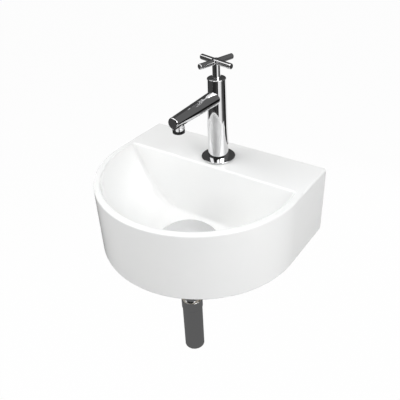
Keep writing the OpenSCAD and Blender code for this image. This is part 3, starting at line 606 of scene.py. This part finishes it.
def turned(profile):
    """Closed solid turned round the upright axis from the corners of its half profile.

    A corner is a radius, a height and, where it is rounded, how far. The profile runs
    from axis to axis, or is closed where it keeps clear of the axis.
    """
    bm = bmesh.new()
    corners = [bm.verts.new((corner[0], 0, corner[1])) for corner in profile]
    for pair in zip(corners, corners[1:]):
        bm.edges.new(pair)
    if profile[0][0] > 0:
        bm.edges.new((corners[-1], corners[0]))
    for rounding in sorted({corner[2] for corner in profile if len(corner) > 2}):
        rounded = [vert for vert, corner in zip(corners, profile) if corner[2:] == (rounding,)]
        bmesh.ops.bevel(bm, geom=rounded, offset=rounding, segments=CORNER_STEPS, profile=0.5,
                        affect="VERTICES", material=-1)
    bmesh.ops.spin(bm, geom=bm.verts[:] + bm.edges[:], cent=(0, 0, 0), axis=(0, 0, 1),
                   angle=2 * math.pi, steps=TURNED_STEPS, use_merge=True)
    bmesh.ops.remove_doubles(bm, verts=bm.verts, dist=SLIVER)
    bmesh.ops.recalc_face_normals(bm, faces=bm.faces)
    return bm


def rod(radius, low, high, rounding=0):
    """Round bar along the upright axis, with its upper end rounded if asked."""
    end = (radius, high, rounding) if rounding else (radius, high)
    return turned([(0, low), (radius, low), end, (0, high)])


def thread(root, crest, rise, low, high):
    """Ridge of a screw thread from height to height, as a closed coil sunk into its core."""
    bm = bmesh.new()
    turns = (high - low) / rise - 1
    steps = round(turns * THREAD_STEPS)
    inner = root - THREAD_SINK
    section = [bm.verts.new(place) for place in (
        (inner, 0, low), (crest, 0, low + rise / 2), (inner, 0, low + THREAD_FOOT * rise))]
    edges = [bm.edges.new(pair) for pair in zip(section, section[1:] + section[:1])]
    bmesh.ops.spin(bm, geom=section + edges, cent=(0, 0, 0), axis=(0, 0, 1),
                   dvec=(0, 0, rise * turns / steps), angle=2 * math.pi * turns, steps=steps)
    return closed(bm)


def quarter(radius, steps):
    """Points of a quarter circle that bulges to a corner: run from 0 to radius, and rise left."""
    for step in range(steps + 1):
        angle = math.pi / 2 * step / steps
        yield radius * (1 - math.cos(angle)), radius * (1 - math.sin(angle))


def moved(bm, place, turn=None):
    """Turns a mesh and moves it to its place."""
    if turn:
        bmesh.ops.rotate(bm, cent=(0, 0, 0), matrix=turn, verts=bm.verts)
    bmesh.ops.translate(bm, vec=place, verts=bm.verts)
    return bm


def crossed(bar, place, turn):
    """Lays an upright bar down, and repeats it to a cross that is turned and moved."""
    moved(bar, (0, 0, 0), TO_FRONT)
    bmesh.ops.spin(bar, geom=bar.verts[:] + bar.edges[:] + bar.faces[:], cent=(0, 0, 0),
                   axis=(0, 0, 1), angle=1.5 * math.pi, steps=3, use_duplicate=True)
    return moved(bar, place, turn)


def mesh_object(name, bm):
    mesh = bpy.data.meshes.new(name)
    bm.to_mesh(mesh)
    bm.free()
    made = bpy.data.objects.new(name, mesh)
    bpy.context.scene.collection.objects.link(made)
    return made


def carved(name, bm, *work):
    """Object from a solid that others are cut out of or added to, in the order of the work."""
    body = mesh_object(name, bm)
    for operation, shape in work:
        tool = mesh_object(f"{name}_tool", shape)
        step = body.modifiers.new("step", "BOOLEAN")
        step.operation = operation
        step.solver = "EXACT"
        step.object = tool
        depsgraph = bpy.context.evaluated_depsgraph_get()
        mesh = bpy.data.meshes.new_from_object(body.evaluated_get(depsgraph))
        body.modifiers.clear()
        # A step leaves corners some nanometres apart, which would upset the next
        whole = bmesh.new()
        whole.from_mesh(mesh)
        bmesh.ops.remove_doubles(whole, verts=whole.verts, dist=SLIVER)
        whole.to_mesh(mesh)
        whole.free()
        body.data = mesh
        bpy.data.objects.remove(tool)
    return body


def set_down(piece, place, *shells):
    """Adds closed shells to the mesh of a piece, and moves it to its place."""
    bm = bmesh.new()
    bm.from_mesh(piece.data)
    for shell in shells:
        extra = bpy.data.meshes.new("shell")
        shell.to_mesh(extra)
        shell.free()
        bm.from_mesh(extra)
        bpy.data.meshes.remove(extra)
    bm.to_mesh(piece.data)
    bm.free()
    piece.data.transform(Matrix.Translation(place))


def seat(name):
    """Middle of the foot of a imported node, its height, and half its width."""
    low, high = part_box(name)
    middle = Vector(((low.x + high.x) / 2, (low.y + high.y) / 2, low.z))
    return middle, high.z - low.z, (high.x - low.x) / 2


def finish_piece(piece, part, body="basin", slot="polished_chrome", sharp_angle=30):
    """Gives a piece its material and smooth shading, hangs it on its body, and hides the imported
    part that it stands for.
    """
    mesh = piece.data
    mesh.materials.clear()
    mesh.materials.append(materials[slot])
    for face in mesh.polygons:
        face.use_smooth = True
    mesh.set_sharp_from_angle(angle=math.radians(sharp_angle))
    weigh = piece.modifiers.new("even_normals", "WEIGHTED_NORMAL")
    weigh.keep_sharp = True
    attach(piece, body)
    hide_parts(part)


def turned_piece(name, part, place, profile, body="basin"):
    """Turns a chrome piece from its half profile, sets it down and finishes it."""
    finish_piece(mesh_object(name, moved(turned(profile), place)), part, body)


def basin_block(size, low, high):
    """Half-round front and straight back, with its outer edges rounded."""
    radius = (high.x - low.x) / 2
    centre_y = low.y + radius
    bm = bmesh.new()
    outline(bm, [
        ((radius, 0), (radius, 0), 0, 1),
        ((radius, centre_y), (0, centre_y), -math.pi, ARC_STEPS),
        ((-radius, 0), (-radius, 0), 0, 1),
    ], low.z)
    bmesh.ops.remove_doubles(bm, verts=bm.verts, dist=SLIVER)
    base = bmesh.ops.contextual_create(bm, geom=bm.edges)["faces"]
    raised = bmesh.ops.extrude_face_region(bm, geom=base)["geom"]
    bmesh.ops.translate(bm, vec=(0, 0, high.z - low.z),
                        verts=[item for item in raised if isinstance(item, bmesh.types.BMVert)])
    bmesh.ops.recalc_face_normals(bm, faces=bm.faces)
    level = [edge for edge in bm.edges
             if abs(edge.verts[0].co.z - edge.verts[1].co.z) < SLIVER
             and max(abs(vert.co.y) for vert in edge.verts) > SLIVER]
    bmesh.ops.bevel(bm, geom=level, offset=size.rim_edge, segments=CORNER_STEPS, profile=0.5,
                    affect="EDGES", material=-1)
    back = [edge for edge in bm.edges if all(abs(vert.co.y) < SLIVER for vert in edge.verts)]
    bmesh.ops.bevel(bm, geom=back, offset=size.back_edge, segments=BACK_STEPS, profile=0.5,
                    affect="EDGES", material=-1)
    return bm


def bowl_profile(size, rim_radius):
    """The bowl's round side from the rim down: depth, radius, and the flare of its lip there."""
    depth, lip, edge = size.bowl_depth, size.lip, size.floor_edge
    rise = (rim_radius ** 2 - size.floor_radius ** 2 - depth ** 2) / (2 * depth)
    ball = math.hypot(rim_radius, rise)
    edge_x = math.sqrt((ball - edge) ** 2 - (rise + depth - edge) ** 2)
    lip_radius = math.sqrt(ball ** 2 - (rise + lip) ** 2)
    first = math.atan2(lip_radius, rise + lip)
    joint = math.atan2(edge_x, rise + depth - edge)
    yield -LIFT, lip_radius, lip
    for flare, drop in reversed(list(quarter(lip, LIP_STEPS))):
        yield drop, lip_radius, flare
    for step in range(1, BALL_STEPS + 1):
        angle = first + (joint - first) * step / BALL_STEPS
        yield ball * math.cos(angle) - rise, ball * math.sin(angle), 0
    for step in range(1, EDGE_STEPS + 1):
        angle = joint * (1 - step / EDGE_STEPS)
        yield depth - edge * (1 - math.cos(angle)), edge_x + edge * math.sin(angle), 0


def bowl_levels(size, low, high):
    """Outlines of the bowl: a leaning round, cut off by the back wall, with soft corners."""
    rim_radius = (high.x - low.x) / 2 - size.rim_width
    centre_y = low.y + (high.x - low.x) / 2
    for drop, radius, flare in bowl_profile(size, rim_radius):
        share = drop / size.bowl_depth
        sink = max(0, size.back_foot - size.bowl_depth + drop)
        heel = size.back_foot - math.sqrt(size.back_foot ** 2 - sink ** 2)
        wall_y = -size.deck_depth - size.back_lean * share + flare - heel
        corner = size.crease + (size.crease_foot - size.crease) * share
        middle_y = centre_y - size.bowl_lean * share
        yield bowl_section(radius + flare, middle_y, wall_y, corner), high.z - drop


def bowl_section(radius, centre_y, wall_y, corner):
    """Circle cut off by the back wall, with its two corners rounded."""
    corner_y = wall_y - corner
    corner_x = math.sqrt((radius - corner) ** 2 - (corner_y - centre_y) ** 2)
    tilt = math.atan2(corner_y - centre_y, corner_x)
    side_x, side_y = radius * math.cos(tilt), centre_y + radius * math.sin(tilt)
    small = tilt - math.pi / 2
    return [
        ((corner_x, wall_y), (corner_x, corner_y), small, CREASE_STEPS),
        ((side_x, side_y), (0, centre_y), -(math.pi + 2 * tilt), ARC_STEPS),
        ((-side_x, side_y), (-corner_x, corner_y), small, CREASE_STEPS),
    ]


def chamber_levels(size, low, high):
    """Outlines of the space under the deck, from its rounded mouth to its rounded ceiling."""
    half = (high.x - low.x) / 2 - size.wall
    front, back = -size.deck_depth + size.wall, -size.wall
    ceiling = high.z - size.deck_thickness
    edge = list(quarter(size.chamber_edge, MOUTH_STEPS))
    steps = [(low.z - LIFT, size.chamber_edge)]
    steps += [(low.z + rise, run) for run, rise in reversed(edge)]
    steps += [(ceiling - rise, -run) for run, rise in edge]
    for height, wider in steps:
        corner = size.chamber_corner + wider
        x, front_y, back_y = half + wider - corner, front - wider + corner, back + wider - corner
        yield [(start, centre, -math.pi / 2, CHAMBER_STEPS) for start, centre in (
            ((x + corner, front_y), (x, front_y)), ((-x, front_y - corner), (-x, front_y)),
            ((-x - corner, back_y), (-x, back_y)), ((x, back_y + corner), (x, back_y)),
        )], height


def recess_profile(size):
    """Half profile of the recess round the waste, from its floor upwards."""
    radius, lip, depth = size.recess / 2, size.recess_lip, size.recess_depth
    edge = list(quarter(lip, RECESS_STEPS))
    foot = [(radius - rise, run) for run, rise in edge]
    mouth = [(radius + run, depth - rise) for run, rise in edge]
    return [(0, 0), *foot, *mouth, (radius + lip, depth + LIFT), (0, depth + LIFT)]


class BASIN_OT_body(bpy.types.Operator):
    """Cast the basin: block, bowl, space under the deck, recess and holes"""

    bl_idname = "basin.body"
    bl_label = "Cast the basin"

    def execute(self, context):
        size = context.scene.basin_sizes
        low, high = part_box("basin_body")
        tap_y, drain_y = seat("tap_body")[0].y, seat("plug_cap")[0].y
        deck_z = high.z - size.deck_thickness
        recess_z = high.z - size.bowl_depth - size.recess_depth
        tools = [
            loft(bowl_levels(size, low, high)),
            loft(chamber_levels(size, low, high)),
            moved(turned(recess_profile(size)), (0, drain_y, recess_z)),
            moved(rod(size.waste_hole / 2, low.z - LIFT, recess_z + LIFT), (0, drain_y, 0)),
            moved(rod(size.tap_hole / 2, deck_z - LIFT, high.z + LIFT), (0, tap_y, 0)),
        ]
        for side in (-1, 1):
            hole = rod(size.fixing_hole / 2, -LIFT, size.wall + LIFT)
            tools.append(moved(hole, (side * size.fixing_pitch / 2, 0, 0), TO_FRONT))
        block = basin_block(size, low, high)
        basin = carved("cast_basin", block, *((CUT, tool) for tool in tools))
        finish_piece(basin, "basin_body", slot="vitreous_white", sharp_angle=40)
        return {"FINISHED"}


class BASIN_OT_tap(bpy.types.Operator):
    """Turn the tap's rosette, column, spout, aerator and bonnet ring"""

    bl_idname = "basin.tap"
    bl_label = "Turn the tap"

    def execute(self, context):
        size = context.scene.tap_sizes
        fit = size.fit
        bore, top, headwork, waterway, water, tenon = (width / 2 for width in (
            size.shank_bore, size.column_top, size.headwork_bore, size.waterway,
            size.spout_bore, size.tenon))

        place, height, foot = seat("tap_body")
        tap_y, valve_seat = place.y, height - size.seat_depth
        axis = Vector((0, tap_y, place.z + height - size.spout_drop))
        tenon_end = TENON_END * foot
        column = carved("turned_column", moved(turned([
            (bore, 0), (foot, 0), (top, height, size.column_round), (headwork, height),
            (headwork, valve_seat), (waterway, valve_seat), (waterway, size.shank_engage),
            (bore, size.shank_engage),
        ]), place), (CUT, moved(rod(tenon + fit, 0, tenon_end), axis, TO_FRONT)))
        finish_piece(column, "tap_body")
        column_room = moved(turned(
            [(0, 0), (foot + fit, 0), (top + fit, height), (0, height)]), place)

        place, height, radius = seat("tap_base_rosette")
        turned_piece("turned_rosette", "tap_base_rosette", place, [
            (bore, 0), (radius, 0), (radius, size.rosette_edge, size.rosette_round),
            (foot + size.rosette_land, height), (bore, height),
        ])

        place, height, radius = seat("aerator_housing")
        neck = radius - size.aerator_wall
        throat, barrel = neck - size.aerator_neck, height - size.aerator_engage
        turned_piece("turned_aerator", "aerator_housing", place, [
            (throat, 0), (radius, 0, size.aerator_round), (radius, barrel), (neck, barrel),
            (neck, height), (throat, height),
        ])

        boss_foot = place + Vector((0, 0, barrel))
        boss_height, reach = axis.z - boss_foot.z, tap_y - place.y
        start = axis + Vector((0, -size.spout_start, 0))
        length = start.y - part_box("tap_spout")[0].y
        cone = turned([(0, 0), (size.spout_root / 2, 0),
                       (size.spout_tip / 2, length, size.spout_round), (0, length)])
        seal_room = rod(neck + fit, -LIFT, size.aerator_engage + size.aerator_seal)
        spout = carved(
            "turned_spout", moved(cone, start, TO_FRONT),
            (ADD, moved(rod(radius - size.boss_step, 0, boss_height), boss_foot)),
            (CUT, column_room),
            (ADD, moved(rod(tenon, headwork, tenon_end), axis, TO_FRONT)),
            (CUT, moved(rod(water, 0, reach), axis, TO_FRONT)),
            (CUT, moved(rod(water, 0, boss_height), boss_foot)),
            (CUT, moved(seal_room, boss_foot)),
        )
        finish_piece(spout, "tap_spout")

        place, height, radius = seat("bonnet_ring")
        inner, edge = size.bonnet_bore / 2, size.bonnet_round
        turned_piece("turned_bonnet_ring", "bonnet_ring", place, [
            (inner, 0), (radius, 0), (radius, height, edge), (inner, height, edge)])
        return {"FINISHED"}


class BASIN_OT_cross(bpy.types.Operator):
    """Turn the handle's hub and its four arms"""

    bl_idname = "basin.cross"
    bl_label = "Turn the cross handle"

    def execute(self, context):
        size = context.scene.tap_sizes
        fit, tenon, socket = size.fit, size.arm_tenon / 2, size.socket / 2
        place, height, radius = seat("handle_hub")
        low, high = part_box("handle_arms")
        arm = (high.z - low.z) / 2
        axis = Vector((place.x, place.y, low.z + arm))
        turn = Matrix.Rotation(size.handle_turn, 3, "Z")
        low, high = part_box("handle_grub_screw")
        screw_place = (place.x, place.y, (low.z + high.z) / 2)
        screw_turn = turn @ Matrix.Rotation(math.pi / 4, 3, "Z") @ TO_FRONT.transposed()
        socket_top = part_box("spindle")[1].z + fit - place.z

        tenon_rooms = [moved(rod(tenon + fit, -2 * radius, 2 * radius), axis, turn @ way)
                       for way in (TO_FRONT, TO_SIDE)]
        screw_room = moved(rod(size.grub_screw / 2 + fit, 0, 2 * radius), screw_place, screw_turn)
        hub = carved("turned_hub", moved(turned([
            (0, height), (radius, height, size.hub_round), (radius, 0, size.hub_foot),
            (socket, 0), (socket, socket_top), (0, socket_top),
        ]), place), *((CUT, room) for room in (*tenon_rooms, screw_room)))
        finish_piece(hub, "handle_hub", "handle")

        arms = crossed(rod(arm, ARM_START * arm, size.arm_span / 2, size.arm_round), axis, turn)
        tenons = crossed(rod(tenon, tenon + size.tenon_gap, 2 * radius), axis, turn)
        hub_room = moved(rod(radius + fit, -2 * arm, 2 * arm), axis)
        cross = carved("turned_arms", arms, (CUT, hub_room), (ADD, tenons))
        finish_piece(cross, "handle_arms", "handle")
        return {"FINISHED"}


class BASIN_OT_shank(bpy.types.Operator):
    """Cut the tap's threaded shank"""

    bl_idname = "basin.shank"
    bl_label = "Cut the shank"

    def execute(self, context):
        size = context.scene.tap_sizes
        place, height, radius = seat("inlet_shank")
        root, bore = radius - size.thread_depth, size.waterway / 2
        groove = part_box("shank_backnut")[0].z - size.undercut - place.z
        shank = mesh_object(
            "threaded_shank", turned([(bore, 0), (root, 0), (root, height), (bore, height)]))
        set_down(shank, place, *(
            thread(root, radius, size.thread_rise, low, high)
            for low, high in ((0, groove), (groove + size.undercut, height))))
        finish_piece(shank, "inlet_shank", slot="raw_brass")
        return {"FINISHED"}


class BASIN_OT_waste(bpy.types.Operator):
    """Turn the plug's cap, the threaded waste body and the tail's tubes and collar"""

    bl_idname = "basin.waste"
    bl_label = "Turn the waste and its tail"

    def execute(self, context):
        size = context.scene.waste_sizes
        place, height, radius = seat("plug_cap")
        edge = size.cap_edge
        rise = height - edge
        ball = (radius ** 2 + rise ** 2) / (2 * rise)
        corner = CAP_CORNER * edge
        profile = [(0, 0), (radius, 0, corner), (radius, edge, corner)]
        for step in range(DOME_STEPS + 1):
            out = (radius - edge / 2) * (1 - step / DOME_STEPS)
            profile.append((out, height - ball + math.sqrt(ball ** 2 - out ** 2)))
        turned_piece("domed_plug_cap", "plug_cap", place, profile, "plug")

        place, height, radius = seat("waste_body")
        bore, crest = size.bore / 2, size.thread / 2
        root, under = crest - size.thread_depth, height - size.flange
        waste = turned([
            (bore, 0), (root, 0), (root, under), (radius, under),
            (radius, height, size.flange_round), (bore + size.mouth, height),
            (bore, height - size.mouth_depth),
        ])
        holder = size.cartridge / 2
        inner, outer = holder + size.fit, holder + size.spider_wall
        spider_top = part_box("click_cartridge")[1].z - size.cartridge_head - place.z
        spider_foot = spider_top - size.spider_height
        joins = [turned([(inner, spider_foot), (outer, spider_foot), (outer, spider_top),
                         (inner, spider_top)])]
        rib_start, rib_end = (holder + outer) / 2, (bore + root) / 2
        rib_size = (rib_end - rib_start, size.rib, size.spider_height - 2 * size.spider_step)
        rib_place = ((rib_start + rib_end) / 2, 0, (spider_foot + spider_top) / 2)
        for bearing in RIBS:
            rib = bmesh.new()
            bmesh.ops.create_cube(rib, size=1)
            bmesh.ops.scale(rib, vec=rib_size, verts=rib.verts)
            moved(rib, rib_place)
            joins.append(moved(rib, (0, 0, 0), Matrix.Rotation(math.radians(bearing), 3, "Z")))
        body = carved("threaded_waste", waste, *((ADD, join) for join in joins))
        set_down(body, place, thread(root, crest, size.thread_rise, 0, under))
        finish_piece(body, "waste_body")

        place, height, radius = seat("upper_tail_tube")
        tube, flange_foot = size.upper_tube / 2, height - size.coupling_washer
        inner = tube - size.tube_wall
        turned_piece("drawn_upper_tube", "upper_tail_tube", place, [
            (inner, 0), (tube, 0), (tube, flange_foot), (radius, flange_foot),
            (radius, height), (inner, height),
        ])

        place, height, radius = seat("slip_collar")
        collar_foot, neck, inner = place.z, size.neck / 2 + size.fit, tube + size.fit
        ceiling = height - size.collar_top
        turned_piece("turned_slip_collar", "slip_collar", place, [
            (neck, 0), (radius, 0, size.collar_round / 4), (radius, height, size.collar_round),
            (inner, height), (inner, ceiling), (neck, ceiling),
        ])

        place, height, radius = seat("lower_tail_tube")
        inner, neck, edge = radius - size.tube_wall, size.neck / 2, size.tube_wall / 4
        shoulder = collar_foot - size.groove - place.z
        turned_piece("drawn_lower_tube", "lower_tail_tube", place, [
            (inner, 0, edge), (radius, 0, edge), (radius, shoulder), (neck, shoulder),
            (neck, height), (inner, height),
        ])
        return {"FINISHED"}


def stage_piece(name, bm, material, gloss_only=True):
    """A piece of the studio, made in metres, that isn't part of the object."""
    piece = mesh_object(name, bm)
    piece.data.materials.append(material)
    if gloss_only:
        for kind in ("camera", "diffuse", "transmission", "volume_scatter", "shadow"):
            setattr(piece, "visible_" + kind, False)
    piece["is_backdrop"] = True


def level_card(name, width, height, material, gloss_only=True):
    """A square card that lies level at a height."""
    bm = bmesh.new()
    bmesh.ops.create_grid(bm, x_segments=1, y_segments=1, size=width / 2)
    stage_piece(name, moved(bm, (0, 0, height)), material, gloss_only)


def round_card(name, first, last, low, high, material):
    """A card bent round the object between two bearings."""
    bm = bmesh.new()
    centre = (0, STUDIO_CENTRE, 0)
    post = [bm.verts.new((0, STUDIO_CENTRE - CARD_RADIUS, z)) for z in (low, high)]
    edge = bm.edges.new(post)
    bmesh.ops.rotate(bm, cent=centre, matrix=Matrix.Rotation(math.radians(first), 3, "Z"),
                     verts=post)
    bmesh.ops.spin(bm, geom=[*post, edge], cent=centre, axis=(0, 0, 1),
                   angle=math.radians(last - first),
                   steps=max(2, round((last - first) / CARD_FACET)))
    stage_piece(name, bm, material)


def plain_card(name, colour):
    """Card that gives off its own colour and nothing else."""
    material, tree, _ = start_material(name)
    return end_material(material, node(tree, "Emission", {"Color": rgba(colour), "Strength": 1}))


def soft_lamp(name, power, width, height, place, mirrored):
    """Rectangular lamp aimed at the middle of the studio, which gloss mirrors or not."""
    light = bpy.data.lights.new(name, "AREA")
    light.energy = power
    light.shape = "RECTANGLE"
    light.size, light.size_y = width, height
    lamp = bpy.data.objects.new(name, light)
    away = Vector(place) - Vector((0, STUDIO_CENTRE, 0))
    lamp.matrix_world = Matrix.Translation(place) @ (
        away.to_track_quat("Z", "Y").to_matrix().to_4x4())
    lamp.visible_camera = False
    lamp.visible_glossy = mirrored
    bpy.context.scene.collection.objects.link(lamp)


def seen_directly(tree):
    """One where a camera, gloss or transmission ray arrives, nought for the light itself."""
    path = node(tree, "LightPath", {}).outputs
    some = node(tree, "Math", {0: path["Is Camera Ray"], 1: path["Is Glossy Ray"]},
                operation="MAXIMUM")
    return node(tree, "Math", {0: some, 1: path["Is Transmission Ray"]}, operation="MAXIMUM")


class BASIN_OT_studio(bpy.types.Operator):
    """Set the floor, the lamps, the dark cards, the sky and the camera"""

    bl_idname = "basin.studio"
    bl_label = "Set the studio"

    def execute(self, context):
        scene = context.scene
        studio = scene.basin_studio
        scene.view_settings.view_transform = "Standard"

        sky = bpy.data.worlds.new("even_sky")
        sky.use_nodes = True
        tree = sky.node_tree
        tree.nodes.clear()
        strength = node(tree, "MapRange",
                        {0: seen_directly(tree), "To Min": studio.sky_strength, "To Max": 1})
        light = node(tree, "Background", {"Color": (1, 1, 1, 1), "Strength": strength})
        node(tree, "OutputWorld", {"Surface": light})
        scene.world = sky

        # Matt white paint. Where it is seen directly it is an even white all round.
        floor_paint, tree, place = start_material("floor_paint")
        cloud = node(tree, "TexNoise", {"Vector": place, "Scale": pitch(400)})
        rough = node(tree, "MapRange", {0: cloud, "To Min": 0.8, "To Max": 0.95})
        paint = node(tree, "BsdfPrincipled",
                     {"Base Color": rgba(studio.floor_colour), "Roughness": rough})
        glow = node(tree, "Emission", {"Color": (1, 1, 1, 1), "Strength": 1})
        share = node(tree, "Math", {0: seen_directly(tree), 1: FLOOR_GLOW},
                     operation="MULTIPLY")
        end_material(floor_paint, node(tree, "MixShader", {0: share, 1: paint, 2: glow}))
        level_card("floor", FLOOR_WIDTH, studio.floor_drop, floor_paint, gloss_only=False)

        # Chrome is nearly all reflection: a grey dome gives it its tone, and the black
        # cards and white gaps round its foot give the tap its bands.
        tones = {name: plain_card("card_" + name, getattr(studio, "card_" + name))
                 for name in ("black", "dark", "charcoal", "grey", "pale")}
        for name, (tone, *card) in CARDS.items():
            round_card("card_" + name, *card, tones[tone])
        for name, height in (("ceiling", CARD_TOP), ("floor", studio.floor_drop + CARD_LIFT)):
            level_card("card_" + name, 2 * CARD_RADIUS, height, tones["grey"])
        # The bowl would light up the aerator from below, so a small flag hides it
        flag = bmesh.new()
        bmesh.ops.create_circle(flag, cap_ends=True, segments=FLAG_STEPS, radius=FLAG_RADIUS)
        flag_place = seat("aerator_housing")[0] - Vector((0, 0, FLAG_DROP))
        stage_piece("card_flag", moved(flag, flag_place), tones["dark"])

        for name, lamp in LAMPS.items():
            soft_lamp("lamp_" + name, getattr(studio, name + "_power"), *lamp)

        camera = bpy.data.objects.new("camera", bpy.data.cameras.new("camera"))
        axes = Matrix((CAMERA_RIGHT, -Vector(CAMERA_DOWN), -Vector(CAMERA_AHEAD))).transposed()
        camera.matrix_world = Matrix.Translation(CAMERA_PLACE) @ axes.to_4x4()
        camera.data.sensor_width = CAMERA_SENSOR
        camera.data.lens = CAMERA_LENS
        camera.data.clip_start = CAMERA_NEAR
        scene.collection.objects.link(camera)
        scene.camera = camera
        return {"FINISHED"}


class BASIN_PT_panel(bpy.types.Panel):
    """Lists the steps and their settings"""

    bl_idname = "BASIN_PT_panel"
    bl_label = "Cloakroom basin"
    bl_space_type = "VIEW_3D"
    bl_region_type = "UI"
    bl_category = "Basin"

    def draw(self, context):
        layout = self.layout
        for name in GROUPS:
            group = getattr(context.scene, name)
            box = layout.box()
            for setting in group.bl_rna.properties.keys():
                if setting not in ("rna_type", "name"):
                    box.prop(group, setting)
        for step in STEPS:
            layout.operator(step.bl_idname)


STEPS = (BASIN_OT_finishes, BASIN_OT_body, BASIN_OT_tap, BASIN_OT_cross, BASIN_OT_shank,
         BASIN_OT_waste, BASIN_OT_studio)
GROUPS = {"basin_sizes": BasinSizes, "tap_sizes": TapSizes, "waste_sizes": WasteSizes,
          "basin_finishes": BasinFinishes, "basin_studio": BasinStudio}


def register():
    for name, group in GROUPS.items():
        bpy.utils.register_class(group)
        setattr(bpy.types.Scene, name, bpy.props.PointerProperty(type=group))
    for step in STEPS:
        bpy.utils.register_class(step)
    bpy.utils.register_class(BASIN_PT_panel)


def unregister():
    bpy.utils.unregister_class(BASIN_PT_panel)
    for step in reversed(STEPS):
        bpy.utils.unregister_class(step)
    for name, group in GROUPS.items():
        delattr(bpy.types.Scene, name)
        bpy.utils.unregister_class(group)


def main():
    register()
    for step in STEPS:
        area, name = step.bl_idname.split(".")
        getattr(getattr(bpy.ops, area), name)()
    boxes = {"cad": CAD_BOX, "visual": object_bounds()}
    {name: [list(low), list(high)] for name, (low, high) in boxes.items()}


if __name__ == "__main__":
    main()
